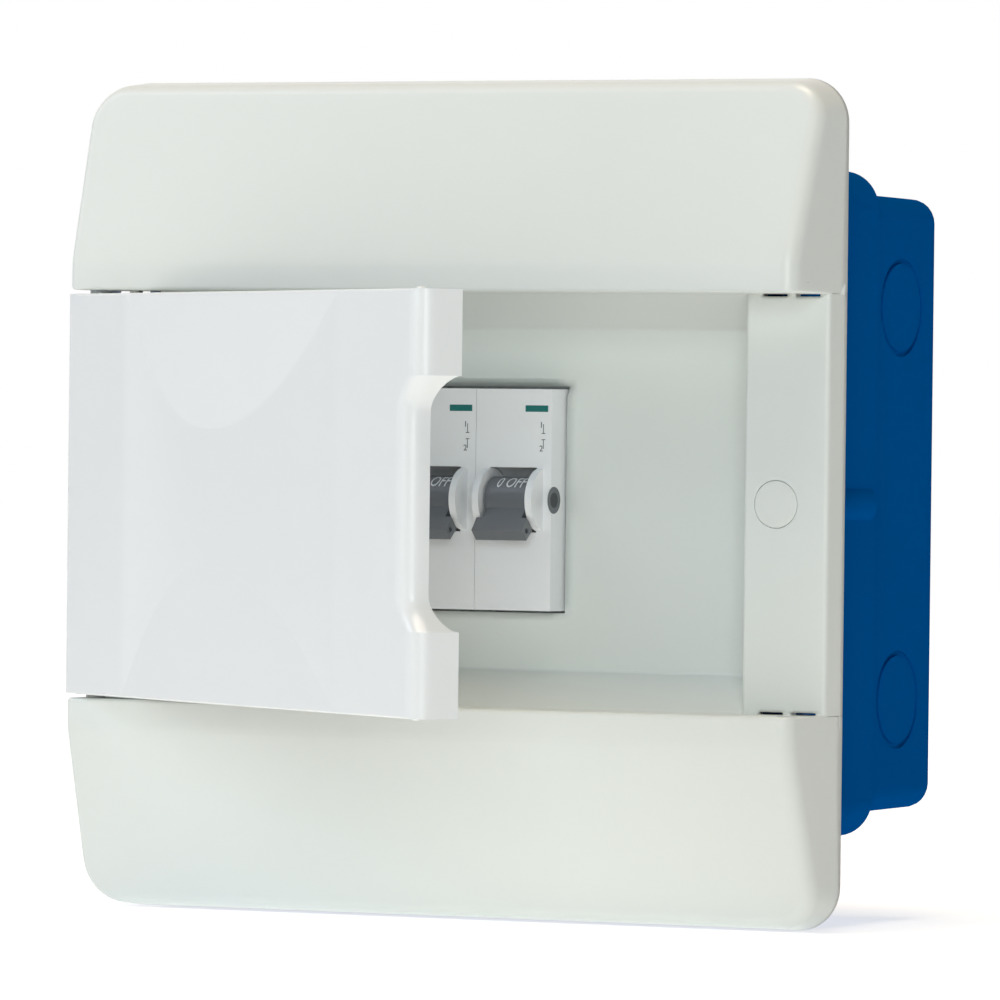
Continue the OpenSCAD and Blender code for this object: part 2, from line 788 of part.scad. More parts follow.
module shut_door() {
    notch_edge = door_w / 2 - notch_set;
    inner_half_h = door_h / 2 - door_wall;
    difference() {
        union() {
            difference() {
                up_door(door_h / 2)
                    door_plan(0, door_back);
                slab(door_back - over, hood_out + over)
                    notch_plan();
                difference() {
                    up_door(inner_half_h)
                        door_plan(door_wall, door_back - over);
                    dish(door_wall);
                    block(door_w / 2, notch_set + door_wall, [door_back - over, hood_out],
                          [-notch_h / 2 - door_wall, notch_h / 2 + door_wall]);
                }
                // The space under the lip is open to the back
                block(notch_edge - notch_reach / 2, notch_reach / 2,
                      [door_back - over, hood_out - notch_lip], [-notch_straight, notch_straight]);
            }
            // Hinge pegs on their bosses, and catch bumps
            for (flip = [0, 1])
                mirror([0, 0, flip]) {
                    rod_z(hinge_x, hinge_out, peg_r + peg_boss_wall, door_h / 2 - peg_boss_h, door_h / 2);
                    rod_z(hinge_x, hinge_out, peg_r, door_h / 2 - peg_boss_h, door_h / 2 + peg_len);
                    translate([catch_x, -hinge_out, door_h / 2 - catch_r + catch_rise])
                        sphere(catch_r);
                }
        }
        dish(0);
    }
}

module door() {
    color("#e4eaea")
    translate([hinge_x, -hinge_out, 0])
        rotate([0, 0, -door_open])
            translate([-hinge_x, hinge_out, 0])
                shut_door();
}

// Cover screws and caps

module cover_screws() {
    color("silver")
    for (sx = [-1, 1])
        slotted_screw(sx * screw_x, 0, seat_out, screw_r, screw_len, screw_head_r, screw_head_h);
}

module screw_caps() {
    color("#d6dbd5")
    for (sx = [-1, 1])
        rod_out(sx * screw_x, 0, cap_r, pillar_out - cap_t, pillar_out);
}

// Rail

module din_rail() {
    half = rail_h / 2;
    channel = rail_channel_h / 2;
    color("gainsboro")
    difference() {
        along_x(-rail_len / 2, rail_len / 2)
            polygon([
                [rail_back, -channel], [rail_face - rail_t, -channel], [rail_face - rail_t, -half],
                [rail_face, -half], [rail_face, -channel + rail_t], [rail_back + rail_t, -channel + rail_t],
                [rail_back + rail_t, channel - rail_t], [rail_face, channel - rail_t], [rail_face, half],
                [rail_face - rail_t, half], [rail_face - rail_t, channel], [rail_back, channel]
            ]);
        for (sx = [-1, 1])
            rod_out(sx * rail_screw_x, 0, screw_r + screw_clear, 0, rail_face);
    }
}

module rail_screws() {
    seat = rail_back + rail_t;
    color("silver")
    for (sx = [-1, 1])
        slotted_screw(sx * rail_screw_x, 0, seat, screw_r, seat - blind_floor - screw_clear,
                      rail_head_r, rail_head_h);
}

// Breakers; inside one, d is the distance in front of the rail's face

module breaker_profile() {
    nose = nose_h / 2;
    shoulder = shoulder_h / 2;
    polygon([
        [nose_d, -nose], [nose_d, nose], [shoulder_d, nose], [shoulder_d, shoulder],
        [-foot_d, shoulder], [-foot_d, hook_z - hook_reach], [lip_back, hook_z - hook_reach],
        [lip_back, hook_z], [0, hook_z], [0, -hook_z], [-foot_d, -hook_z], [-foot_d, -shoulder],
        [shoulder_d, -shoulder], [shoulder_d, -nose]
    ]);
}

module breaker_cavity() {
    nose = nose_h / 2 - shell_wall;
    shoulder = shoulder_h / 2 - shell_wall;
    polygon([
        [nose_d - shell_wall, -nose], [nose_d - shell_wall, nose], [shoulder_d - shell_wall, nose],
        [shoulder_d - shell_wall, shoulder], [shell_wall, shoulder], [shell_wall, -shoulder],
        [shoulder_d - shell_wall, -shoulder], [shoulder_d - shell_wall, -nose]
    ]);
}

// Everything in a breaker is drawn about its own middle and the rail's face
module on_rail(i) {
    translate([breaker_x[i], -rail_face, 0])
        children();
}

// One shell, open towards the breaker's middle; side is -1 for the left one
module shell(side) {
    flip = side < 0 ? 1 : 0;
    color("#d9ddde")
    mirror([flip, 0, 0])
        difference() {
            union() {
                difference() {
                    along_x(0, shell_half_w)
                        breaker_profile();
                    along_x(-over, cavity_half_w)
                        breaker_cavity();
                    // Slot for the toggle's drum
                    block(0, cheek_in, [nose_d - shell_wall - over, nose_d + over],
                          [-drum_slot_h / 2, drum_slot_h / 2]);
                }
                for (p = rivet_places)
                    rod_x(p[0], p[1], rivet_r + rivet_clear + post_wall, 0, shell_half_w - shell_wall / 2);
                rod_x(drum_d, 0, cheek_r, cheek_in, cheek_in + cheek_t);
                drum_trough();
            }
            for (p = rivet_places) {
                rod_x(p[0], p[1], rivet_r + rivet_clear, -over, shell_half_w + over);
                rod_x(p[0], p[1], rivet_head_r + rivet_clear,
                      shell_half_w - rivet_head_h, shell_half_w + over);
            }
            rod_x(drum_d, 0, pivot_r + pivot_clear, cheek_in - over, cheek_in + pivot_len + pivot_clear);
            rod_x(arm_pin_d, arm_pin_z, arm_pin_r + arm_pin_clear, -over, cavity_half_w + arm_pin_seat);
            for (sz = [-1, 1]) {
                rod_out(0, sz * terminal_z, terminal_head_r + terminal_head_clear,
                        shoulder_d - shell_wall - over, shoulder_d + over);
                translate([0, -wire_d, sz * (shoulder_h - shell_wall) / 2])
                    cylinder(r = wire_r, h = shell_wall + over, center = true);
            }
            // Guide for the rail clip, open above and below
            block(0, clip_half_w + clip_clear, [lip_back - clip_t - clip_clear, lip_back + clip_clear],
                  [-shoulder_h / 2 - over, -hook_z + over]);
        }
}

// The round trough behind a drum, which closes the nose's slot
module drum_trough() {
    difference() {
        intersection() {
            rod_x(drum_d, 0, drum_slot_h / 2 + shell_wall, 0, cheek_in);
            block(0, cheek_in, [0, nose_d - shell_wall / 2], [-drum_slot_h, drum_slot_h]);
        }
        rod_x(drum_d, 0, drum_slot_h / 2, -over, cheek_in + over);
    }
}

module toggle() {
    color("#676b70")
    difference() {
        union() {
            rod_x(drum_d, 0, drum_r, -drum_half_w, drum_half_w);
            rod_x(drum_d, 0, pivot_r, -cheek_in - pivot_len, cheek_in + pivot_len);
            translate([0, -drum_d, 0])
                rotate([lever_off, 0, 0]) {
                    lever(drum_half_w - neck_step, 0, lever_reach);
                    lever(lever_half_w, cheek_r + lever_gap, lever_reach);
                }
        }
        translate([0, -drum_d, 0])
            rotate([lever_off, 0, 0])
                rod_x(lever_reach - lock_inset, 0, lock_r, -lever_half_w - over, lever_half_w + over);
    }
}

// A stretch of the lever, tapering along its reach
module lever(half_w, from, to) {
    fall = (lever_root_t - lever_tip_t) / 2 / lever_reach;
    root = lever_root_t / 2;
    along_x(-half_w, half_w)
        polygon([
            [from, -root + fall * from], [to, -root + fall * to],
            [to, root - fall * to], [from, root - fall * from]
        ]);
}

module contact_arm() {
    color("#b87333")
    translate([0, -arm_pin_d, arm_pin_z])
        rotate([arm_swing, 0, 0])
            difference() {
                union() {
                    rod_x(0, 0, arm_eye_r, -arm_half_w, arm_half_w);
                    block(0, arm_half_w, [-arm_t / 2, arm_t / 2], [0, arm_len + pad_len / 2]);
                    block(0, arm_half_w, [-arm_t / 2 - pad_t, -arm_t / 2],
                          [arm_len - pad_len / 2, arm_len + pad_len / 2]);
                }
                rod_x(0, 0, arm_pin_r + arm_pin_clear, -arm_half_w - over, arm_half_w + over);
            }
}

module arm_pin() {
    color("silver")
    rod_x(arm_pin_d, arm_pin_z, arm_pin_r, -cavity_half_w - arm_pin_seat + arm_pin_clear,
          cavity_half_w + arm_pin_seat - arm_pin_clear);
}

module fixed_contact() {
    top = terminal_z - cage_h / 2;
    pad_z = arm_pin_z + arm_len;
    color("#b87333") {
        block(0, strip_half_w, [cage_out, cage_out + strip_t], [pad_z - pad_len / 2, top]);
        block(0, strip_half_w, [contact_d, contact_d + pad_t], [pad_z - pad_len / 2, pad_z + pad_len / 2]);
    }
}

module rail_clip() {
    color("#676b70")
    block(0, clip_half_w, [lip_back - clip_t, lip_back],
          [-shoulder_h / 2 - clip_tab, clip_tip_z]);
}

module rivets() {
    color("silver")
    for (p = rivet_places) {
        rod_x(p[0], p[1], rivet_r, -shell_half_w, shell_half_w);
        for (side = [-1, 1])
            rod_x(p[0], p[1], rivet_head_r, side * (shell_half_w - rivet_head_h / 2) - rivet_head_h / 2,
                  side * (shell_half_w - rivet_head_h / 2) + rivet_head_h / 2);
    }
}

module arc_chute() {
    color("slategray")
    for (k = [0 : chute_count - 1])
        block(0, cavity_half_w - cage_gap, [shell_wall + cage_gap, shell_wall + cage_gap + chute_d],
              [chute_z + k * chute_pitch, chute_z + k * chute_pitch + chute_t]);
}

module coil_bobbin() {
    color("#e8e2d0")
    difference() {
        union() {
            rod_z(0, coil_d, coil_core_r, coil_z, coil_z + coil_len);
            for (z = [coil_z, coil_z + coil_len - coil_flange_t])
                rod_z(0, coil_d, coil_flange_r, z, z + coil_flange_t);
        }
        rod_z(0, coil_d, coil_bore_r, coil_z - over, coil_z + coil_len + over);
    }
}

module coil_winding() {
    from = coil_z + coil_flange_t;
    to = coil_z + coil_len - coil_flange_t;
    color("#b87333")
    difference() {
        rod_z(0, coil_d, coil_r, from, to);
        rod_z(0, coil_d, coil_core_r, from - over, to + over);
    }
}

module bimetal() {
    color("#c9b48a") {
        block(0, bimetal_half_w, [bimetal_d, bimetal_d + bimetal_t], [bimetal_z, bimetal_z + bimetal_len]);
        block(0, bimetal_half_w, [bimetal_d, cage_out + strip_t], [bimetal_z, bimetal_z + bimetal_t]);
    }
}

module terminal_cages() {
    color("lightgray")
    for (sz = [-1, 1])
        difference() {
            block(0, cavity_half_w - cage_gap, [cage_out, cage_out + cage_d],
                  [sz * terminal_z - cage_h / 2, sz * terminal_z + cage_h / 2]);
            rod_z(0, wire_d, wire_r, sz * terminal_z - cage_h, sz * terminal_z + cage_h);
            rod_out(0, sz * terminal_z, terminal_screw_r + screw_clear, wire_d, cage_out + cage_d + over);
        }
}

module terminal_screws() {
    color("silver")
    for (sz = [-1, 1])
        slotted_screw(0, sz * terminal_z, terminal_head_d, terminal_screw_r, terminal_screw_len,
                      terminal_head_r, terminal_head_h);
}

// Neutral and earth bars

module carrier(side) {
    groove_w = bar_w + 2 * carrier_clear;
    color(side < 0 ? "steelblue" : "seagreen")
    difference() {
        union() {
            block(side * bar_x, carrier_w / 2, [carrier_back, carrier_back + carrier_d],
                  [-carrier_len / 2, carrier_len / 2]);
            block(side * bar_x, carrier_w / 2, [carrier_back, carrier_back + carrier_foot_t],
                  [-carrier_len / 2 - carrier_foot, carrier_len / 2 + carrier_foot]);
        }
        block(side * bar_x, groove_w / 2, [bar_out, carrier_back + carrier_d + over],
              [-bar_len / 2 - carrier_clear, bar_len / 2 + carrier_clear]);
        for (sz = [-1, 1])
            rod_out(side * bar_x, sz * carrier_screw_z, carrier_screw_r + screw_clear,
                    carrier_back - over, carrier_back + carrier_foot_t + over);
    }
}

module terminal_bar(side) {
    color("#b5a642")
    difference() {
        block(side * bar_x, bar_w / 2, [bar_out, bar_out + bar_d], [-bar_len / 2, bar_len / 2]);
        for (k = [0 : bar_count - 1]) {
            z = (k - (bar_count - 1) / 2) * bar_pitch;
            rod_x(bar_out + bar_wire_set, z, bar_wire_r, side * bar_x - bar_w, side * bar_x + bar_w);
            rod_out(side * bar_x, z, bar_screw_r + screw_clear,
                    bar_out + bar_wire_set, bar_out + bar_d + over);
        }
    }
}

module bar_screws(side) {
    color("silver")
    for (k = [0 : bar_count - 1])
        slotted_screw(side * bar_x, (k - (bar_count - 1) / 2) * bar_pitch, bar_out + bar_d, bar_screw_r,
                      bar_d - bar_wire_set - bar_wire_r, bar_head_r, bar_head_h);
}

module carrier_screws() {
    seat = carrier_back + carrier_foot_t;
    color("silver")
    for (side = [-1, 1], sz = [-1, 1])
        slotted_screw(side * bar_x, sz * carrier_screw_z, seat, carrier_screw_r,
                      seat - blind_floor - screw_clear, carrier_head_r, carrier_head_h);
}

wall_box();
front_cover();
door();
cover_screws();
screw_caps();
din_rail();
rail_screws();
on_rail(0) shell(-1);  // breaker_1_left_shell
on_rail(0) shell(1);  // breaker_1_right_shell
on_rail(0) toggle();  // breaker_1_toggle
on_rail(0) contact_arm();  // breaker_1_contact_arm
on_rail(0) rail_clip();  // breaker_1_rail_clip
on_rail(0) rivets();  // breaker_1_rivets
on_rail(0) arc_chute();  // breaker_1_arc_chute
on_rail(0) fixed_contact();  // breaker_1_fixed_contact
on_rail(0) coil_bobbin();  // breaker_1_coil_bobbin
on_rail(0) coil_winding();  // breaker_1_coil_winding
on_rail(0) bimetal();  // breaker_1_bimetal
on_rail(0) arm_pin();  // breaker_1_arm_pin
on_rail(0) terminal_cages();  // breaker_1_terminal_cages
on_rail(0) terminal_screws();  // breaker_1_terminal_screws
on_rail(1) shell(-1);  // breaker_2_left_shell
on_rail(1) shell(1);  // breaker_2_right_shell
on_rail(1) toggle();  // breaker_2_toggle
on_rail(1) contact_arm();  // breaker_2_contact_arm
on_rail(1) rail_clip();  // breaker_2_rail_clip
on_rail(1) rivets();  // breaker_2_rivets
on_rail(1) arc_chute();  // breaker_2_arc_chute
on_rail(1) fixed_contact();  // breaker_2_fixed_contact
on_rail(1) coil_bobbin();  // breaker_2_coil_bobbin
on_rail(1) coil_winding();  // breaker_2_coil_winding
on_rail(1) bimetal();  // breaker_2_bimetal
on_rail(1) arm_pin();  // breaker_2_arm_pin
on_rail(1) terminal_cages();  // breaker_2_terminal_cages
on_rail(1) terminal_screws();  // breaker_2_terminal_screws
carrier(-1);  // neutral_carrier
terminal_bar(-1);  // neutral_bar
bar_screws(-1);  // neutral_bar_screws
carrier(1);  // earth_carrier
terminal_bar(1);  // earth_bar
bar_screws(1);  // earth_bar_screws
carrier_screws();
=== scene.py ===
"""Looks of a flush breaker panel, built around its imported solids.

Lengths are metres. A point is written as x, out, z: x across, out from the box's back towards the
room, z up. The mesh maker turns out into Blender's -Y.
"""

import json

import bmesh
import bpy
import numpy as np
from bpy.props import FloatProperty, FloatVectorProperty, PointerProperty
from mathutils import Matrix, Vector


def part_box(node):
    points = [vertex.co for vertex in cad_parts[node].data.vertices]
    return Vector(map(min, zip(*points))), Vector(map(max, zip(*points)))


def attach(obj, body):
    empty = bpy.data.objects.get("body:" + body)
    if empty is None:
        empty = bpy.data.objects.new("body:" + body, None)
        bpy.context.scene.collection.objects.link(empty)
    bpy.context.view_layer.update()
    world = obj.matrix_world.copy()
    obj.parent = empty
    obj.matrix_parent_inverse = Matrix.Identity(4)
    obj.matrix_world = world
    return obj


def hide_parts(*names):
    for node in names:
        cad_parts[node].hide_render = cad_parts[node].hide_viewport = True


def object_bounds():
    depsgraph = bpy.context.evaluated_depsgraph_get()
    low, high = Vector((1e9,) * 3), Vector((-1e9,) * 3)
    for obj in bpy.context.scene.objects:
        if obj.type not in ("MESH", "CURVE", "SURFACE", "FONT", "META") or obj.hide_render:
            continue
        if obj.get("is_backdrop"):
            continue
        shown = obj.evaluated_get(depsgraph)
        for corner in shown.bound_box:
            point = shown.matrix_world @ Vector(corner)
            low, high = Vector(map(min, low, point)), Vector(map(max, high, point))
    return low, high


bl_info = {
    "name": "Breaker panel",
    "version": (1, 0, 0),
    "blender": (4, 5, 0),
    "location": "3D View > Sidebar > Breaker panel",
    "description": "Builds the cover, door and finishes of a flush breaker panel around its solids",
    "category": "Object",
}

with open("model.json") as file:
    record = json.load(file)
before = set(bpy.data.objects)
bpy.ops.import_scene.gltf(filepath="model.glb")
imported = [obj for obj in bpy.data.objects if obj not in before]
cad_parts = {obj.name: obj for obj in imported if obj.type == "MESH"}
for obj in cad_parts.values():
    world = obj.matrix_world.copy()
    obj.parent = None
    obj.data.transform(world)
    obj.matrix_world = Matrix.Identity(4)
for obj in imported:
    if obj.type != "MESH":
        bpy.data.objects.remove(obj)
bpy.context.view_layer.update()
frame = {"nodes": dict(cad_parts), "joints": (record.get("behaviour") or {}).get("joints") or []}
MM = 0.001
MERGE = 1e-6


def node_span(node, axis):
    """Lowest and highest value of a solid along one axis, with out counted towards the room."""
    low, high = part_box(node)
    return (-high[1], -low[1]) if axis == 1 else (low[axis], high[axis])


def joint_named(name):
    """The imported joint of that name."""
    return next(j for j in frame["joints"] if j["name"] == name)


HINGE = joint_named("door_hinge")
HINGE_X, HINGE_OUT = abs(HINGE["pos_m"][0]), -HINGE["pos_m"][1]
CAP_R = node_span("screw_caps", 2)[1]
SCREW_X = node_span("screw_caps", 0)[1] - CAP_R
SHARP = np.radians(32)
TIP_SOFT = 0.3 * MM
PIN_SEGMENTS = 32


def srgb(red, green, blue):
    """A colour given as 0 to 255 on screen, as the linear colour that Blender keeps."""
    share = np.array([red, green, blue]) / 255.0
    return tuple(np.where(share <= 0.04045, share / 12.92, ((share + 0.055) / 1.055) ** 2.4).tolist())


def length(name, description, value):
    """A length in metres as a property."""
    return FloatProperty(name=name, description=description, default=value, unit="LENGTH", precision=4)


def number(name, description, value, **kind):
    """A number as a property, with a unit or subtype where one fits."""
    return FloatProperty(name=name, description=description, default=value, **kind)


def colour(name, description, value):
    """A linear colour as a property."""
    return FloatVectorProperty(
        name=name, description=description, default=value, subtype="COLOR", size=3, min=0, max=1
    )


class CoverSizes(bpy.types.PropertyGroup):
    """Sizes of the front cover."""

    half_w: length("Half width", "Half width at the wall", node_span("front_cover", 0)[1])
    half_h: length("Half height", "Half height at the wall", node_span("front_cover", 2)[1])
    front: length("Front", "Level of the hoods' flat bands", node_span("front_cover", 1)[1])
    rise: length("Rise", "How far the hoods stand off the wall", 20 * MM)
    edge_rise: length("Edge rise", "How far a hood stands off the wall at its outer edge", 8.5 * MM)
    band: length("Band", "Height of the flat band of a hood", 6 * MM)
    band_blend: length("Band blend", "How softly the band turns into the slope", 1.2 * MM)
    corner_r: length("Corner radius", "Radius of the outer corners", 9 * MM)
    edge_r: length("Edge rounding", "Rounding of the outer edges", 3.5 * MM)
    hinge_edge_r: length("Hinge edge rounding", "Rounding of the outer edge at the hinge side", 1.2 * MM)
    lip_r: length("Lip rounding", "Rounding of the hoods' edges at the opening", 0.7 * MM)
    wall: length("Wall", "Thickness of the moulding", 2.2 * MM)
    opening: length("Opening", "Clear height between the hoods", 83.8 * MM)
    pillar_rise: length("Pillar rise", "How far the pillars stand off the wall", 6.5 * MM)
    pillar_r: length("Pillar rounding", "Rounding of a pillar's outer edge", 1.0 * MM)
    recess_w: length("Recess width", "Clear width between the pillars", 131.4 * MM)
    recess_r: length("Recess rounding", "Rounding along the edges of the recess", 0.8 * MM)
    sink: length("Sink", "Depth of the recess floor behind the wall's face", 8 * MM)
    floor_h: length("Floor height", "Height of the recess floor", 69.4 * MM)
    window_w: length("Window width", "Width of the breaker window", 35.9 * MM)
    window_h: length("Window height", "Height of the breaker window", 46 * MM)
    window_bevel: length("Window bevel", "Height of the bevel over the window", 1.7 * MM)
    well_r: length("Well radius", "Radius of a screw's well", 4.8 * MM)
    well_depth: length("Well depth", "Depth of a screw's well", 4 * MM)
    slot_w: length("Slot width", "Width of a moulding slot", 5.5 * MM)
    slot_h: length("Slot height", "Height of a moulding slot", 0.5 * MM)
    draft: number("Draft", "Narrowing to the front, per side", 0.1)


class DoorSizes(bpy.types.PropertyGroup):
    """Sizes of the door, as it lies shut."""

    half_w: length("Half width", "Half of the door's width", 83 * MM)
    half_h: length("Half height", "Half of the door's height", 41.1 * MM)
    depth: length("Depth", "Depth of the door's sides", 9.6 * MM)
    wall: length("Wall", "Thickness of the moulding", 2 * MM)
    nose_r: length("Nose rounding", "Rounding of the free edge", 3.8 * MM)
    heel_r: length("Heel rounding", "Rounding of the hinge edge", 2.4 * MM)
    rim_r: length("Rim rounding", "Rounding of the upper and lower edges", 0.5 * MM)
    dish_depth: length("Dish depth", "Depth of the dish", 3 * MM)
    dish_from: length("Dish from", "Where the dish begins, at the hinge side", -53 * MM)
    dish_to: length("Dish to", "Where the dish ends, at the free side", 47 * MM)
    dish_low: length("Dish low", "Where the dish is deepest", -17 * MM)
    dish_mid: length("Dish middle", "Half height of the dish's lowest part", 13.8 * MM)
    dish_steep: number("Dish steep", "Power of the valley's hinge side", 2.7)
    dish_gentle: number("Dish gentle", "Power of the valley's free side", 1.8)
    notch_mid: length("Notch middle", "Half height of the finger notch's straight part", 17.5 * MM)
    notch_end: length("Notch end", "Height of each rounded end of the notch", 7 * MM)
    notch_set: length("Notch set", "How far the notch is set in", 5 * MM)
    notch_lip: length("Notch lip", "Thickness of the lip in the notch", 5.5 * MM)
    peg_r: length("Peg radius", "Radius of a hinge peg", 1.95 * MM)
    peg_len: length("Peg length", "Length of a hinge peg", 2.4 * MM)
    boss_r: length("Boss radius", "Radius of the boss that carries a peg", 3 * MM)
    boss_h: length("Boss height", "Height of the boss that carries a peg", 3.9 * MM)
    catch_x: length("Catch place", "Distance of the catches from the middle", 72.2 * MM)
    catch_r: length("Catch radius", "Radius of a catch bump", 1.2 * MM)
    catch_rise: length("Catch rise", "Height of a catch bump", 0.6 * MM)


class Finishes(bpy.types.PropertyGroup):
    """Colours of the mouldings, prints and metals."""

    cover: colour("Cover", "White of the front cover", srgb(226, 231, 227))
    door: colour("Door", "White of the door", srgb(236, 240, 240))
    cap: colour("Caps", "White of the screw caps", srgb(226, 230, 226))
    box: colour("Box", "Blue of the wall box", srgb(0, 88, 164))
    breaker: colour("Breaker", "White of the breakers", srgb(243, 245, 246))
    toggle: colour("Toggle", "Grey of the toggles", srgb(106, 110, 115))
    stripe: colour("Stripe", "Green of the breakers' stripes", srgb(20, 112, 108))
    # The dark ink also paints shade: flat dark discs over the side socket's hole and the pivot hole stand in
    # for the shade inside them.
    ink_and_hole_shade: colour("Ink", "Dark print on the breakers", srgb(58, 62, 66))
    print_white: colour("White print", "Print on the toggles", srgb(220, 224, 226))
    steel: colour("Steel", "Screws, rail, pins and rivets", srgb(190, 193, 196))
    copper: colour("Copper", "Contacts and coils", srgb(184, 115, 72))
    brass: colour("Brass", "Neutral and earth bars", srgb(190, 160, 88))
    bimetal: colour("Bimetal", "Trip strips", srgb(176, 160, 132))
    bobbin: colour("Bobbin", "Coil formers", srgb(222, 214, 192))
    neutral: colour("Neutral", "Carrier of the neutral bar", srgb(52, 110, 170))
    earth: colour("Earth", "Carrier of the earth bar", srgb(46, 130, 82))


class Surface:
    """Patches of one piece. Each is a grid of points, and edges that patches share are merged."""

    def __init__(self):
        self.points, self.quads, self.count = [], [], 0

    def add(self, grid, closed=False, keep=None, flip=False):
        """Adds a grid of rows and columns. closed joins its last column to its first."""
        rows, cols = grid.shape[:2]
        index = self.count + np.arange(rows * cols).reshape(rows, cols)
        if closed:
            index = np.hstack([index, index[:, :1]])
        quads = np.stack([index[:-1, :-1], index[:-1, 1:], index[1:, 1:], index[1:, :-1]], -1)
        quads = quads.reshape(-1, 4) if keep is None else quads[keep]
        self.quads.append(quads[:, ::-1] if flip else quads)
        self.points.append(grid.reshape(-1, 3))
        self.count += rows * cols

    def bore(self, grid, rows, cols, centre, normal, steps, closed=False, flip=False):
        """Fills a rectangle of a grid with rings: its border, then circles of given radius and height."""
        (i0, i1), (j0, j1) = rows, cols
        border = np.concatenate(
            [grid[i0, j0:j1], grid[i0:i1, j1], grid[i1, j1:j0:-1], grid[i1:i0:-1, j0]]
        )
        centre, normal = np.array(centre), np.array(normal)
        spoke = border - centre
        spoke = spoke / np.linalg.norm(spoke, axis=1, keepdims=True)
        rings = [centre + spoke * radius + normal * height for radius, height in steps]
        if closed:
            rings.append(np.zeros_like(spoke) + centre + normal * steps[-1][1])
        self.add(np.stack([border] + rings), closed=True, flip=flip)

    def mesh(self, name, turn=None):
        """The merged mesh, in Blender's frame, with loose and flat faces dropped."""
        points = np.concatenate(self.points) * (1, -1, 1)
        mesh = bpy.data.meshes.new(name)
        mesh.from_pydata(points.tolist(), [], np.concatenate(self.quads).tolist())
        if turn is not None:
            mesh.transform(turn)
        work = bmesh.new()
        work.from_mesh(mesh)
        bmesh.ops.remove_doubles(work, verts=work.verts, dist=MERGE)
        bmesh.ops.dissolve_degenerate(work, dist=MERGE / 10, edges=work.edges)
        work.to_mesh(mesh)
        work.free()
        return mesh


def lines(*parts):
    """Sorted grid lines from several lists, each line once."""
    return np.unique(np.round(np.concatenate([np.atleast_1d(p) for p in parts]), 9))


def mirrored(half, sign=-1):
    """A half profile that starts at the middle, with its mirror image put before it."""
    return np.concatenate([sign * half[:0:-1], half])


def arc(steps, to=90.0):
    """Angles from nought to an end, in radians."""
    return np.radians(np.linspace(0, to, steps + 1))


def index_of(values, target):
    """Place of a grid line."""
    return int(np.argmin(np.abs(values - target)))


def lathe(surface, profile, centre, axis, segments=48):
    """A profile of radius and height carried round an axis: 'x', 'out' square to the wall, 'z' upright.

    The profile runs from the foot's middle outwards, up the side and back in to the top's middle.
    """
    angle = np.linspace(0, 2 * np.pi, segments, endpoint=False)
    radius, height = (np.array(profile)[:, k, None] for k in (0, 1))
    first, second, along = radius * np.cos(angle), radius * np.sin(angle), height + 0 * angle
    parts = {"x": (along, first, second), "out": (first, along, second), "z": (first, second, along)}[axis]
    surface.add(np.stack(parts, -1) + np.array(centre), closed=True, flip=axis != "out")


def coat(mesh, material):
    """Gives a mesh its one material, and smooth shading between its sharp edges."""
    mesh.shade_smooth()
    mesh.set_sharp_from_angle(angle=SHARP)
    mesh.materials.clear()
    mesh.materials.append(material)


def mesh_points(mesh):
    """The points of a mesh, as rows of three."""
    points = np.zeros(len(mesh.vertices) * 3)
    mesh.vertices.foreach_get("co", points)
    return points.reshape(-1, 3)


def place_piece(name, mesh, material, body):
    """Puts a finished mesh in the scene as a piece that rides on a body."""
    coat(mesh, material)
    piece = bpy.data.objects.new(name, mesh)
    bpy.context.scene.collection.objects.link(piece)
    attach(piece, body)
    return piece


def even_shading(piece):
    """Lets large faces set the shading, so that flats stay flat beside their rounded edges."""
    weighted = piece.modifiers.new("Shading", "WEIGHTED_NORMAL")
    weighted.keep_sharp = True
    weighted.weight = 80


# Materials


def shader_group(name, inputs, outputs):
    """An empty node group with float and colour sockets, and its two end nodes."""
    group = bpy.data.node_groups.new(name, "ShaderNodeTree")
    for direction, sockets in (("INPUT", inputs), ("OUTPUT", outputs)):
        for label, kind, default in sockets:
            socket = group.interface.new_socket(label, in_out=direction, socket_type=kind)
            if default is not None:
                socket.default_value = default
    return group, group.nodes.new("NodeGroupInput"), group.nodes.new("NodeGroupOutput")


def feed(group, value, socket):
    """Links another socket to a socket, or sets the socket's number."""
    if isinstance(value, bpy.types.NodeSocket):
        group.links.new(value, socket)
    elif value is not None:
        socket.default_value = value


def noise(group, scale, detail, stretch=(1, 1, 1)):
    """Noise over Object coordinates, stretched along the axes. Returns its value socket."""
    place = group.nodes.new("ShaderNodeTexCoord")
    spread = group.nodes.new("ShaderNodeMapping")
    spread.inputs["Scale"].default_value = stretch
    texture = group.nodes.new("ShaderNodeTexNoise")
    texture.inputs["Detail"].default_value = detail
    feed(group, scale, texture.inputs["Scale"])
    group.links.new(place.outputs["Object"], spread.inputs["Vector"])
    group.links.new(spread.outputs["Vector"], texture.inputs["Vector"])
    return texture.outputs["Fac"]


def math(group, kind, first, second, third=None):
    """A Math node on sockets or numbers. Returns its output."""
    node = group.nodes.new("ShaderNodeMath")
    node.operation = kind
    for socket, value in zip(node.inputs, (first, second, third)):
        feed(group, value, socket)
    return node.outputs[0]


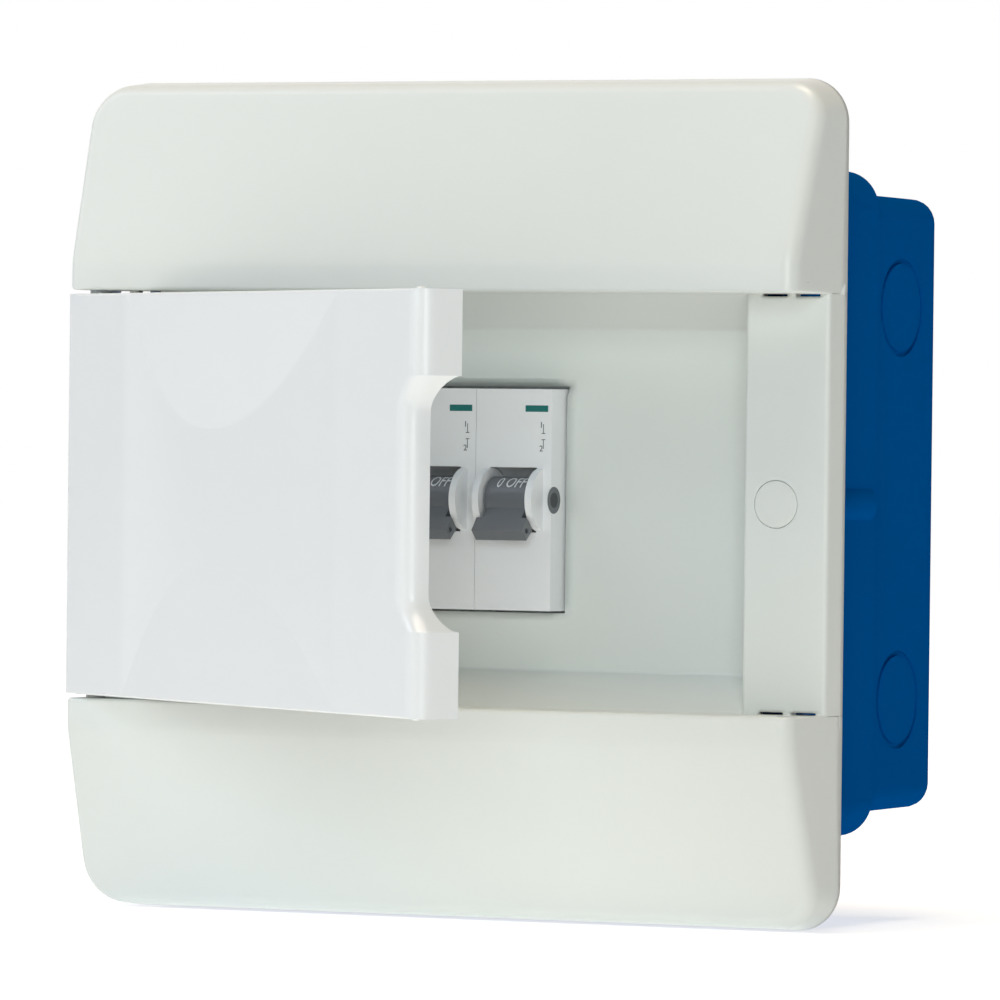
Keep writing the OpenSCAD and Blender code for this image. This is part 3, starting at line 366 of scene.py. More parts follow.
def surface_group(name, broad, stretch):
    """A finish that varies: broad patches of tone, and fine grain in roughness and height.

    Colour is the given colour times 1 + tone x (patches - 1/2). Roughness is the given one plus
    spread x (grain - 1/2). Height is the grain itself.
    """
    group, given, made = shader_group(
        name,
        (
            ("Colour", "NodeSocketColor", (0.8, 0.8, 0.8, 1)),
            ("Tone", "NodeSocketFloat", 0.04),
            ("Roughness", "NodeSocketFloat", 0.3),
            ("Spread", "NodeSocketFloat", 0.08),
            ("Grain", "NodeSocketFloat", 900.0),
        ),
        (
            ("Colour", "NodeSocketColor", None),
            ("Roughness", "NodeSocketFloat", None),
            ("Height", "NodeSocketFloat", None),
        ),
    )
    patches = noise(group, broad, 3.0)
    grain = noise(group, given.outputs["Grain"], 2.0, stretch)
    tone = math(group, "MULTIPLY_ADD", math(group, "SUBTRACT", patches, 0.5), given.outputs["Tone"], 1.0)
    tint = group.nodes.new("ShaderNodeHueSaturation")
    group.links.new(given.outputs["Colour"], tint.inputs["Color"])
    group.links.new(tone, tint.inputs["Value"])
    rough = math(
        group, "MULTIPLY_ADD", math(group, "SUBTRACT", grain, 0.5),
        given.outputs["Spread"], given.outputs["Roughness"],
    )
    group.links.new(tint.outputs["Color"], made.inputs["Colour"])
    group.links.new(rough, made.inputs["Roughness"])
    group.links.new(grain, made.inputs["Height"])
    return group


GRAIN_HEIGHT = 0.05 * MM


def finish(name, group, colour, tone, roughness, spread, grain, bump, metallic=0.0, specular=0.5):
    """A material whose colour, roughness and bump come from one of the finish groups."""
    label = name + "_finish"
    if label in bpy.data.materials:
        return bpy.data.materials[label]
    material = bpy.data.materials.new(label)
    material.use_nodes = True
    tree = material.node_tree
    shader = tree.nodes["Principled BSDF"]
    shader.inputs["Metallic"].default_value = metallic
    shader.inputs["Specular IOR Level"].default_value = specular
    look = tree.nodes.new("ShaderNodeGroup")
    look.node_tree = group
    look.inputs["Colour"].default_value = (*colour, 1)
    for socket, value in (("Tone", tone), ("Roughness", roughness), ("Spread", spread), ("Grain", grain)):
        look.inputs[socket].default_value = value
    relief = tree.nodes.new("ShaderNodeBump")
    relief.inputs["Strength"].default_value = bump
    relief.inputs["Distance"].default_value = GRAIN_HEIGHT
    tree.links.new(look.outputs["Colour"], shader.inputs["Base Color"])
    tree.links.new(look.outputs["Roughness"], shader.inputs["Roughness"])
    tree.links.new(look.outputs["Height"], relief.inputs["Height"])
    tree.links.new(relief.outputs["Normal"], shader.inputs["Normal"])
    return material


def moulded(name, colour, roughness=0.3, tone=0.03, bump=0.08, specular=0.5):
    """Glossy moulded plastic with a very fine grain."""
    group = bpy.data.node_groups.get("moulded_surface") or surface_group("moulded_surface", 22.0, (1, 1, 1))
    return finish(name, group, colour, tone, roughness, spread=0.08, grain=1400.0, bump=bump,
                  specular=specular)


def drawn_metal(name, colour, roughness=0.32, tone=0.12):
    """Metal with fine lines drawn along X."""
    group = bpy.data.node_groups.get("drawn_surface") or surface_group("drawn_surface", 60.0, (0.04, 1, 1))
    return finish(name, group, colour, tone, roughness, spread=0.22, grain=2600.0, bump=0.15, metallic=1.0)


def finishes():
    """The colours of this scene."""
    return bpy.context.scene.panel_finishes


# Front cover


HOLE_FIELD = 2.6 * MM
RIB_RELIEF = 1 * MM
PEG_CLEAR = 0.05 * MM
CATCH_CLEAR = 0.3 * MM
CATCH_DIMPLE = 0.55 * MM
ROW_GAP = 0.4 * MM
WELL_FIELD = 5.8 * MM
WELL_SOFT, WELL_BEND = 0.25 * MM, 0.08 * MM
WINDOW_CLEAR = 3 * MM
BEVEL_SLOPE = 0.8
SEAM_LAP = 0.2 * MM


def hood_rim():
    """The points round a hood's three outer sides: the side or corner, the share along it, a direction.

    The outline runs up the right side, back along the outer edge and down the left side. On a side
    the share runs along it, and on a corner the direction turns.
    """
    up, across = np.linspace(0, 1, 70), np.linspace(0, 1, 80)
    quarter = np.linspace(0, 1, 15)[1:-1]
    part = np.repeat([0, 1, 2, 3, 4], [len(up), len(quarter), len(across), len(quarter), len(up)])
    share = np.concatenate([up, quarter, across, quarter, up])
    angle = np.pi / 2 * np.select([part == 1, part == 2, part == 3, part == 4], [share, 1, 1 + share, 2], 0)
    return part, share, angle


def hood_points(rim, inset, sizes):
    """The outline drawn in by an inset: the corners' centres move in and their radii shrink.

    The lower ends stay at the opening.
    """
    part, share, angle = rim
    pulled, left = np.maximum(sizes.corner_r, inset), np.maximum(sizes.corner_r - inset, 0)
    low, high = sizes.opening / 2 + sizes.lip_r, sizes.half_h - pulled
    wide = sizes.half_w - pulled
    centre_x = np.select([part <= 1, part == 2], [wide, wide * (1 - 2 * share)], -wide)
    climb = share * (high - low)
    centre_z = np.select([part == 0, part == 4], [low + climb, high - climb], high)
    bow = np.where((part == 0) | (part == 4), 0, left * np.sin(angle))
    return centre_x + left * np.cos(angle), centre_z + bow


def hood_level(z, sizes):
    """Rise of a hood's front and its slope: flat on the band, then a straight fall, softly joined.

    The drop is the fall times half of t + sqrt(t^2 + w^2), t being the distance past the band.
    """
    past = z - sizes.opening / 2 - sizes.band
    fall = (sizes.rise - sizes.edge_rise) / (sizes.half_h - sizes.opening / 2 - sizes.band)
    root = np.sqrt(past**2 + sizes.band_blend**2)
    return sizes.rise - fall * (past + root) / 2, -fall * (1 + past / root) / 2


def hood_grid(sizes, doors):
    """Rows of a hood from its rim to the opening: drafted wall, rounded edge, then the front.

    In each point's own section, inset across and rise up, an arc touches the wall's line and the
    front's line. The front is filled by drawing the outline in to the edge at the opening, with
    rows that end at the peg holes and catch dimples.
    """
    rim = hood_rim()
    draft = sizes.draft
    radius = sizes.edge_r + (sizes.hinge_edge_r - sizes.edge_r) * np.clip(2 * rim[2] / np.pi - 1, 0, 1)
    level, slope = hood_level(hood_points(rim, 0, sizes)[1], sizes)
    slope = -slope * np.sin(rim[2])
    meet = draft * level / (1 - draft * slope)
    corner = np.stack([meet, level + slope * meet])
    down = np.stack([-draft + 0 * slope, -1 + 0 * slope]) / np.sqrt(1 + draft**2)
    inward = np.stack([1 + 0 * slope, slope]) / np.sqrt(1 + slope**2)
    half = np.arccos((down * inward).sum(0)) / 2
    middle = corner + (down + inward) / np.linalg.norm(down + inward, axis=0) * radius / np.sin(half)
    first, last = corner + down * radius / np.tan(half), corner + inward * radius / np.tan(half)
    sweep = np.pi - 2 * half
    share = np.linspace(0, 1, 11)[1:, None, None]
    bend = middle + (
        np.sin((1 - share) * sweep) * (first - middle) + np.sin(share * sweep) * (last - middle)
    ) / np.sin(sweep)
    walls = np.linspace(0, 1, 7)[:, None, None] * first
    end = sizes.half_h - sizes.opening / 2 - sizes.lip_r
    turn = end - sizes.band + sizes.band_blend * np.linspace(-2, 2, 9)
    holes = sizes.half_w - np.array([HINGE_X, doors.catch_x]) + HOLE_FIELD * np.linspace(-1, 1, 5)[:, None]
    start = last[0].max() + ROW_GAP
    holes = holes[holes > start]
    free = lines(np.linspace(start, end, 26), turn)
    inset = lines(holes, free[np.abs(free[:, None] - holes).min(1) > ROW_GAP])
    section = [*walls, *bend, *(np.stack([d + 0 * slope, 0 * slope]) for d in inset)]
    rows = []
    for k, (d, rise) in enumerate(section):
        x, z = hood_points(rim, d, sizes)
        rise = hood_level(z, sizes)[0] if k >= len(walls) + len(bend) else rise
        rows.append(np.stack([x, sizes.front - sizes.rise + rise, z], -1))
    return np.stack(rows)


def hood_lip(grid, sizes):
    """The wall of a hood at the opening, and the small rounding between it and the front.

    The hood's end is a line in x and out. The rounding carries it along a quarter circle, and the
    wall's columns run from the foot up to it.
    """
    last = grid[-1, hood_rim()[0] == 2]
    edge = np.concatenate([grid[:, -1], last[-2:0:-1], grid[::-1, 0]])[:, :2]
    along = np.gradient(edge, axis=0)
    normal = np.stack([-along[:, 1], along[:, 0]], -1) / np.linalg.norm(along, axis=1, keepdims=True)
    pillar = sizes.front - sizes.rise + sizes.pillar_rise
    soft = sizes.lip_r * np.clip((edge[:, 1:] - pillar) / sizes.edge_r, 0, 1)
    a = arc(6)[::-1]
    flat = [edge - normal * soft * (1 - np.cos(t)) for t in a]
    top = flat[0]
    foot = sizes.front - sizes.rise + RIB_RELIEF
    crown = sizes.front - sizes.lip_r
    holes = (HINGE_OUT + np.linspace(-1, 1, 5) * HOLE_FIELD - foot) / (crown - foot)
    share = lines(0, holes, 1)[:, None]
    wall_out = foot + share * (np.maximum(top[:, 1], foot) - foot)
    lip_z = sizes.opening / 2 + sizes.lip_r * (1 - np.sin(a))
    lip = np.stack([np.column_stack([p, z + 0 * p[:, 0]]) for p, z in zip(flat, lip_z)])
    wall = np.stack([top[:, 0] + 0 * wall_out, wall_out, sizes.opening / 2 + 0 * wall_out], -1)
    return lip, wall


def add_hood(surface, sizes, doors, flip):
    """One hood with its peg holes and catch dimples in the wall at the opening."""
    grid = hood_grid(sizes, doors)
    lip, wall = hood_lip(grid, sizes)
    sign = -1 if flip else 1
    columns = wall[-1, :, 0]
    fields = [(side * x, *hole) for x, *hole in (
        (HINGE_X, doors.peg_r + PEG_CLEAR, sizes.wall, False),
        (doors.catch_x, doors.catch_r + CATCH_CLEAR, CATCH_DIMPLE, True),
    ) for side in (-1, 1)]
    keep = np.ones((wall.shape[0] - 1, wall.shape[1] - 1), bool)
    wall, lip, grid = (part * (1, 1, sign) for part in (wall, lip, grid))
    for x, radius, depth, closed in fields:
        j0, j1 = (index_of(columns, x + s * HOLE_FIELD) for s in (-1, 1))
        keep[1:5, j0:j1] = False
        surface.bore(wall, (1, 5), (j0, j1), (x, HINGE_OUT, sign * sizes.opening / 2), (0, 0, sign),
                     [(radius, 0), (radius, depth)], closed=closed, flip=flip)
    surface.add(wall, keep=keep, flip=flip)
    surface.add(lip, flip=flip)
    surface.add(grid, flip=flip)


def recess_lines_x(sizes, slots_x):
    """Half of the section across: floor, wall, pillar and outer wall. Gives x, level and outer wall."""
    wall_out = sizes.front - sizes.rise
    pillar, floor = wall_out + sizes.pillar_rise, wall_out - sizes.sink
    half, r = sizes.recess_w / 2, sizes.recess_r
    a = arc(6)
    edge = sizes.pillar_r
    lean = np.arctan(sizes.draft)
    low = pillar - edge
    nose_x = sizes.half_w - sizes.draft * (low - wall_out) - edge / np.cos(lean)
    b = arc(7, 90 - np.degrees(lean))
    square = SCREW_X + np.linspace(-1, 1, 9) * WELL_FIELD
    slots = np.concatenate([[s - sizes.slot_w / 2, s + sizes.slot_w / 2] for s in slots_x])
    front = lines(half + r, square, slots, nose_x)
    floor_x = lines(np.linspace(0, sizes.window_w / 2, 7), np.linspace(sizes.window_w / 2, half - r, 20))
    rise = np.linspace(floor + r, pillar - r, 6)[1:-1]
    foot = np.linspace(low, wall_out, 5)[1:]
    side = sizes.half_w - sizes.draft * (foot - wall_out)
    runs = (
        (floor_x, floor + 0 * floor_x),
        (half - r + r * np.sin(a[1:]), floor + r - r * np.cos(a[1:])),
        (half + 0 * rise, rise),
        (half + r - r * np.cos(a[:-1]), pillar - r + r * np.sin(a[:-1])),
        (front, pillar + 0 * front),
        (nose_x + edge * np.sin(b[1:]), low + edge * np.cos(b[1:])),
        (side, foot),
    )
    x, level = (np.concatenate(run) for run in zip(*runs))
    outer = np.arange(len(x)) >= len(x) - len(b) + 1 - len(foot)
    return x, level, outer


def recess_lines_z(sizes):
    """Half of the section up the recess: floor, rounded foot, sloped wall. Gives z and level."""
    wall_out = sizes.front - sizes.rise
    pillar, floor = wall_out + sizes.pillar_rise, wall_out - sizes.sink
    top, foot, r = sizes.opening / 2, sizes.floor_h / 2, sizes.recess_r
    steep = np.arctan2(pillar - floor, top - foot)
    a = arc(6, np.degrees(steep))
    start = foot - r * np.tan(steep / 2)
    half = sizes.window_h / 2
    flat = lines(np.linspace(0, 1, 5) * WELL_FIELD, np.linspace(WELL_FIELD, half, 9),
                 half + sizes.window_bevel, np.linspace(half + WINDOW_CLEAR, start, 6))
    bend_z, bend = start + r * np.sin(a[1:]), floor + r - r * np.cos(a[1:])
    rise_z = lines(np.linspace(bend_z[-1], top, 7), top - sizes.slot_h)[1:]
    z = np.concatenate([flat, bend_z, rise_z, [top + SEAM_LAP]])
    level = np.concatenate([floor + 0 * flat, bend, pillar - (top - rise_z) * np.tan(steep), [pillar]])
    return z, level


def add_recess(surface, sizes, doors):
    """The pillars and the recess between them, as one sheet.

    Its level is the higher of the section across and the section up, apart from the outer walls.
    Faces are left out for the window and the slots, and the screw wells are bored.
    """
    wall_out = sizes.front - sizes.rise
    pillar = wall_out + sizes.pillar_rise
    slots_x = (HINGE_X, doors.catch_x)
    x, across, outer = recess_lines_x(sizes, slots_x)
    x, across, outer = mirrored(x), mirrored(across, 1), mirrored(outer.astype(float), 1) > 0.5
    z, up = recess_lines_z(sizes)
    z, up = mirrored(z), mirrored(up, 1)
    level = np.where(outer, across, np.maximum(across, up[:, None]))
    over_window = (z > sizes.window_h / 2 - MERGE) & (z < sizes.window_h / 2 + sizes.window_bevel - MERGE)
    under = np.abs(x) < sizes.window_w / 2 + MERGE
    level = level - sizes.window_bevel * BEVEL_SLOPE * over_window[:, None] * under
    grid = np.stack([x + 0 * level, level, z[:, None] + 0 * level], -1)
    mid_x, mid_z = (x[1:] + x[:-1]) / 2, (z[1:] + z[:-1]) / 2
    keep = ~((np.abs(mid_x) < sizes.window_w / 2) & (np.abs(mid_z)[:, None] < sizes.window_h / 2))
    slot_z = (np.abs(mid_z) > sizes.opening / 2 - sizes.slot_h) & (np.abs(mid_z) < sizes.opening / 2)
    for slot in slots_x:
        keep &= ~(slot_z[:, None] & (np.abs(np.abs(mid_x) - slot) < sizes.slot_w / 2))
    i0, i1 = (index_of(z, s * WELL_FIELD) for s in (-1, 1))
    r, depth = sizes.well_r, sizes.well_depth
    for side in (-1, 1):
        j0, j1 = (index_of(x, side * SCREW_X + s * WELL_FIELD) for s in (-1, 1))
        keep[i0:i1, j0:j1] = False
        surface.bore(
            grid, (i0, i1), (j0, j1), (side * SCREW_X, pillar, 0), (0, 1, 0),
            [(r + WELL_SOFT, 0), (r + WELL_BEND, -WELL_BEND), (r, -WELL_SOFT), (r, -depth), (r / 2, -depth)],
        )
    surface.add(grid, keep=keep)


class PANEL_OT_cover(bpy.types.Operator):
    """Build the front cover: two hoods and the recess between its pillars, as one moulding"""

    bl_idname = "panel.cover"
    bl_label = "Front cover"

    def execute(self, context):
        sizes, doors = context.scene.panel_cover, context.scene.panel_door
        surface = Surface()
        for flip in (False, True):
            add_hood(surface, sizes, doors, flip)
        add_recess(surface, sizes, doors)
        piece = place_piece("cover_moulding", surface.mesh("cover_moulding"),
                            moulded("cover_white", finishes().cover), "panel")
        thicken = piece.modifiers.new("Wall", "SOLIDIFY")
        thicken.thickness = sizes.wall
        thicken.offset = -1
        even_shading(piece)
        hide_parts("front_cover")
        return {"FINISHED"}


# Door


def notch_shape(z, doors):
    """How far the free edge is set in at a height, and how thick the edge is there.

    In the straight part both are constant. In an end the set runs out as a cosine, and the thickness
    follows a quarter ellipse, so that the back of the notch ends square to the plain edge.
    """
    rise = np.clip((np.abs(z) - doors.notch_mid) / doors.notch_end, 0, 1)
    lost = (doors.depth - doors.notch_lip) * np.sqrt(1 - rise**2)
    return doors.notch_set * np.cos(np.pi / 2 * rise), doors.depth - lost


DISH_SOFT = 0.08
DISH_EASE = 14 * MM
CREST_ROW = 0.015


def dish_valley(x, doors):
    """Share of the dish's depth across the door: one at the lowest line, falling to nought at its ends.

    On each side it is 1 - (distance / span) to a power, steeper at the hinge. Half of v + sqrt(v^2 + w^2)
    then keeps it above nought and rounds its ends.
    """
    away = x - doors.dish_low
    span = np.where(away < 0, doors.dish_low - doors.dish_from, doors.dish_to - doors.dish_low)
    share = 1 - (np.abs(away) / span) ** np.where(away < 0, doors.dish_steep, doors.dish_gentle)
    return (share + np.sqrt(share**2 + DISH_SOFT**2)) / 2


def dish_depth(x, z, doors):
    """Depth of the dish: the lesser of an upright valley and a slope to the nearer edge."""
    slope = (doors.half_h - np.abs(z)) / (doors.half_h - doors.dish_mid)
    return doors.dish_depth * np.clip(np.minimum(dish_valley(x, doors), slope), 0, 1)


def door_grid(doors):
    """Grid of the door's front: x, z and the drop at its rounded edges.

    Rows follow the dish's arcs: below an arc they share its height out, above it the rest. Columns
    near the free edge move in with the notch.
    """
    a = arc(8)
    heel = doors.heel_r * (1 - np.cos(a))
    nose = doors.nose_r * np.sin(a)
    start, end = -doors.half_w + doors.heel_r, doors.half_w - doors.nose_r
    dish = doors.dish_from - DISH_EASE, doors.dish_to + DISH_EASE
    flat = lines(np.linspace(start, dish[0], 4), np.linspace(*dish, 110), np.linspace(dish[1], end, 8))
    x = np.concatenate([-doors.half_w + heel[:-1], flat, end + nose[1:]])
    drop_x = np.concatenate(
        [doors.heel_r * (1 - np.sin(a[:-1])), 0 * flat, doors.nose_r * (1 - np.cos(a[1:]))]
    )
    top = doors.half_h - doors.rim_r
    ends = doors.notch_mid + doors.notch_end * np.sin(arc(12))
    share = lines(np.linspace(0, doors.notch_mid, 14), ends, np.linspace(ends[-1], top, 12),
                  (1 - CREST_ROW) * top) / top
    crest = doors.half_h - (doors.half_h - doors.dish_mid) * dish_valley(x, doors)
    crest = np.clip(crest, 0, top)
    rest = lines(np.linspace(0, 1, 16)[1:], CREST_ROW)[:, None]
    upper = np.concatenate([share[:, None] * crest, crest + rest * (top - crest),
                            top + doors.rim_r * np.sin(a[1:, None]) + 0 * crest])
    drop_z = np.concatenate([np.zeros(len(share) + len(rest)), doors.rim_r * (1 - np.cos(a[1:]))])
    z = np.concatenate([-upper[:0:-1], upper])
    drop = np.maximum(drop_x, mirrored(drop_z, 1)[:, None])
    follow = np.clip((x - doors.dish_to) / (end - doors.dish_to), 0, 1)
    return x - notch_shape(z, doors)[0] * follow, z, drop


def door_border(grid):
    """The border of a grid as one loop, from its lower left corner to the right and round."""
    return np.concatenate([grid[0, :-1], grid[:-1, -1], grid[-1, :0:-1], grid[:0:-1, 0]])


class PANEL_OT_door(bpy.types.Operator):
    """Build the dished door with its finger notch, hinge pegs and catches, standing open"""

    bl_idname = "panel.door"
    bl_label = "Door"

    def execute(self, context):
        doors, front = context.scene.panel_door, context.scene.panel_cover.front
        x, z, drop = door_grid(doors)
        dish = dish_depth(x, z, doors)
        surface = Surface()
        outside = np.stack([x, front - drop - dish, z], -1)
        set_in = notch_shape(z, doors)[0]
        inner_x = np.clip(x, -doors.half_w + doors.wall, doors.half_w - set_in - doors.wall)
        inner_z = np.clip(z, -doors.half_h + doors.wall, doors.half_h - doors.wall)
        inside = np.stack([inner_x, front - doors.wall - dish, inner_z], -1)
        surface.add(outside)
        surface.add(inside, flip=True)
        backs = []
        for grid in (outside, inside):
            loop = door_border(grid)
            deep = np.where(loop[:, 0] > doors.dish_to, notch_shape(loop[:, 2], doors)[1], doors.depth)
            back = np.stack([loop[:, 0], front - deep, loop[:, 2]], -1)
            backs.append(back)
            steps = np.linspace(0, 1, 5)[:, None, None]
            surface.add(back + steps * (loop - back), closed=True, flip=grid is inside)
        surface.add(np.stack(backs[::-1]), closed=True)
        for end in (-1, 1):
            self.add_end(surface, doors, HINGE["pos_m"], end)
        pivot, swing = Vector(HINGE["pos_m"]), Matrix.Rotation(np.radians(HINGE["range_deg"][0]), 4, "Z")
        turn = Matrix.Translation(pivot) @ swing @ Matrix.Translation(-pivot)
        piece = place_piece("door_moulding", surface.mesh("door_moulding", turn),
                            moulded("door_white", finishes().door, 0.24), "door")
        even_shading(piece)
        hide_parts("door")
        return {"FINISHED"}

    @staticmethod
    def add_end(surface, doors, pos, end):
        """A hinge peg on its boss, and a catch bump, at the upper or lower edge."""
        top, tip = doors.half_h, doors.half_h + doors.peg_len
        foot, edge = top - doors.boss_h, top - doors.rim_r
        peg = [(0, foot), (doors.boss_r, foot), (doors.boss_r, edge), (doors.peg_r, edge),
               (doors.peg_r, tip - TIP_SOFT), (doors.peg_r - TIP_SOFT, tip), (0, tip)]
        a = arc(8)
        base = doors.catch_r - doors.catch_rise
        wide = np.sqrt(doors.catch_r**2 - base**2)
        bump = [(0, edge), (wide, edge)] + list(
            zip(wide * np.cos(a), top + doors.catch_rise * np.sin(a))
        )
        for profile, x in ((peg, pos[0]), (bump, doors.catch_x)):
            part = Surface()
            lathe(part, profile, (x, -pos[1], 0), "z", PIN_SEGMENTS)
            grid = part.points[0].reshape(len(profile), PIN_SEGMENTS, 3) * (1, 1, end)
            surface.add(grid, closed=True, flip=end > 0)


# Screw caps


class PANEL_OT_caps(bpy.types.Operator):
    """Build the two round caps over the cover's screws, each with a rounded edge"""

    bl_idname = "panel.caps"
    bl_label = "Screw caps"

    def execute(self, context):
        back, front = node_span("screw_caps", 1)
        soft, a = TIP_SOFT, arc(6)
        profile = [(0, back), (CAP_R - soft, back), (CAP_R, back + soft)] + list(
            zip(CAP_R - soft + soft * np.cos(a), front - soft + soft * np.sin(a))
        ) + [(CAP_R / 2, front), (0, front)]
        surface = Surface()
        for side in (-1, 1):
            lathe(surface, profile, (side * SCREW_X, 0, 0), "out")
        piece = place_piece("cap_discs", surface.mesh("cap_discs"),
                            moulded("cap_white", finishes().cap, 0.34), "panel")
        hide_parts("screw_caps")
        return {"FINISHED"}


# Pieces that keep the form of their solids


FLAT_ANGLE, EDGE_ANGLE = np.radians(1), np.radians(40)


def softened(node, material, body, width, least=1.5 * MM, seam=None):
    """A copy of a solid with its longer edges rounded, which takes the solid's place.

    Edges that lie in the plane x = seam stay sharp, so that two halves meet without a groove.
    """
    mesh = frame["nodes"][node].data.copy()
    work = bmesh.new()
    work.from_mesh(mesh)
    bmesh.ops.remove_doubles(work, verts=work.verts, dist=MERGE)
    bmesh.ops.dissolve_limit(work, angle_limit=FLAT_ANGLE, verts=work.verts, edges=work.edges)
    weight = work.edges.layers.float.new("bevel_weight_edge")
    for edge in work.edges:
        turned = len(edge.link_faces) == 2 and edge.calc_face_angle() > EDGE_ANGLE
        joined = seam is not None and all(abs(v.co.x - seam) < 10 * MERGE for v in edge.verts)
        edge[weight] = 1.0 if turned and not joined and edge.calc_length() > least else 0.0
    work.to_mesh(mesh)
    work.free()
    piece = place_piece(node + "_moulding", mesh, material, body)
    bevel = piece.modifiers.new("Edges", "BEVEL")
    bevel.width = width
    bevel.segments = 3
    bevel.limit_method = "WEIGHT"
    bevel.use_clamp_overlap = True
    even_shading(piece)
    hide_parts(node)
    return piece


def dress(node, material):
    """Gives a solid that keeps its own mesh a finish."""
    coat(frame["nodes"][node].data, material)


BOX_SOFT, BOX_LEAST = 0.4 * MM, 6 * MM
RING_PLACE, RING_OUT = 40 * MM, 19 * MM
RING_R, RING_W = 10 * MM, 1 * MM
RING_SHARE = 0.12
FACE_X, FACE_Z = 73 * MM, 62 * MM


def shallow_rings(mesh, across, along, least):
    """Draws the floors of the knock-out rings up to a share of their depth.

    Points are in a ring by their distance from its axis. Over each point of a floor lies a point of
    the face, which is the farthest one out at the same place.
    """
    points = mesh_points(mesh)
    from_axis = np.hypot(np.abs(points[:, along]) - RING_PLACE, -points[:, 1] - RING_OUT)
    ring = (np.abs(from_axis - RING_R + RING_W / 2) < RING_W) & (np.abs(points[:, across]) > least)
    spot, depth = points[ring], np.abs(points[ring, across])
    place = np.column_stack([spot[:, along], spot[:, 1], np.sign(spot[:, across])]) / MM
    group = np.unique(np.round(place, 2), axis=0, return_inverse=True)[1].ravel()
    face = np.zeros(group.max() + 1)
    np.maximum.at(face, group, depth)
    points[ring, across] = np.sign(spot[:, across]) * (face[group] - RING_SHARE * (face[group] - depth))
    mesh.vertices.foreach_set("co", points.ravel())


class PANEL_OT_box(bpy.types.Operator):
    """Dress the blue wall box and round its edges"""

    bl_idname = "panel.box"
    bl_label = "Wall box"

    def execute(self, context):
        material = moulded("box_blue", finishes().box, roughness=0.5, tone=0.06, bump=0.2, specular=0.0)
        piece = softened("wall_box", material, "panel", BOX_SOFT, BOX_LEAST)
        for across, along, least in ((0, 2, FACE_X), (2, 0, FACE_Z)):
            shallow_rings(piece.data, across, along, least)
        return {"FINISHED"}


def flat_plate(surface, x, out, z, thick):
    """A thin plate on a face: x and z give its limits, and its edges lean in a little."""
    lean = thick / 2
    ring = np.array([(x[0], z[0]), (x[1], z[0]), (x[1], z[1]), (x[0], z[1])])
    middle = ring.mean(0)
    inward = np.sign(middle - ring) * lean
    rows = [(0 * ring + middle, 0), (ring, 0), (ring + inward, thick), (0 * ring + middle, thick)]
    rows = [np.stack([p[:, 0], out + h + 0 * p[:, 0], p[:, 1]], -1) for p, h in rows]
    surface.add(np.stack(rows), closed=True)


PRINT_T = 0.04 * MM
PRINT_STEP = 0.45 * MM


def add_word(name, text, size, place, material, body, slant=0.0):
    """A thin printed word. place turns its flat x, height and thickness into x, out and z."""
    curve = bpy.data.curves.new(name, "FONT")
    curve.body, curve.size, curve.extrude, curve.shear = text, size, PRINT_T / 2, slant
    curve.align_x, curve.align_y, curve.resolution_u = "CENTER", "CENTER", 3
    holder = bpy.data.objects.new(name, curve)
    bpy.context.scene.collection.objects.link(holder)
    mesh = bpy.data.meshes.new_from_object(holder.evaluated_get(bpy.context.evaluated_depsgraph_get()))
    bpy.data.objects.remove(holder)
    bpy.data.curves.remove(curve)
    work = bmesh.new()
    work.from_mesh(mesh)
    bmesh.ops.remove_doubles(work, verts=work.verts, dist=MERGE)
    for _ in range(3):
        bmesh.ops.triangulate(work, faces=work.faces)
        wide = [edge for edge in work.edges if edge.calc_length() > PRINT_STEP]
        bmesh.ops.subdivide_edges(work, edges=wide, cuts=1)
    bmesh.ops.triangulate(work, faces=work.faces)
    work.to_mesh(mesh)
    work.free()
    mesh.vertices.foreach_set("co", (place(mesh_points(mesh)) * (1, -1, 1)).ravel())
    return place_piece(name, mesh, material, body)


SHELL_SOFT = 0.35 * MM
NOSE_OUT = 64.5 * MM
STRIPE_BARS = ((-6.1, -0.9, 17.9, 19.2),)
SIGN_BARS = (
    (-2.0, -1.85, 10.4, 12.2), (-2.0, -1.85, 13.6, 15.4),
    (-2.35, -1.5, 12.2, 12.35), (-2.35, -1.5, 13.45, 13.6),
)
DIGITS = (("1", 15.2 * MM), ("2", 10.4 * MM))
DIGIT_H, DIGIT_IN = 1.7 * MM, 2.4 * MM
DRUM_R = 4.7 * MM
DRUM_MARK = np.radians(48)
DRUM_SHIFT = 0.6 * MM
DRUM_NARROW = 0.62
OFF_H, OFF_SLANT = 4.2 * MM, 0.2
CHEEK_END = 6.85 * MM
SOCKET_R, HOLE_R, PIVOT_R = 2.75 * MM, 1.6 * MM, 0.45 * MM


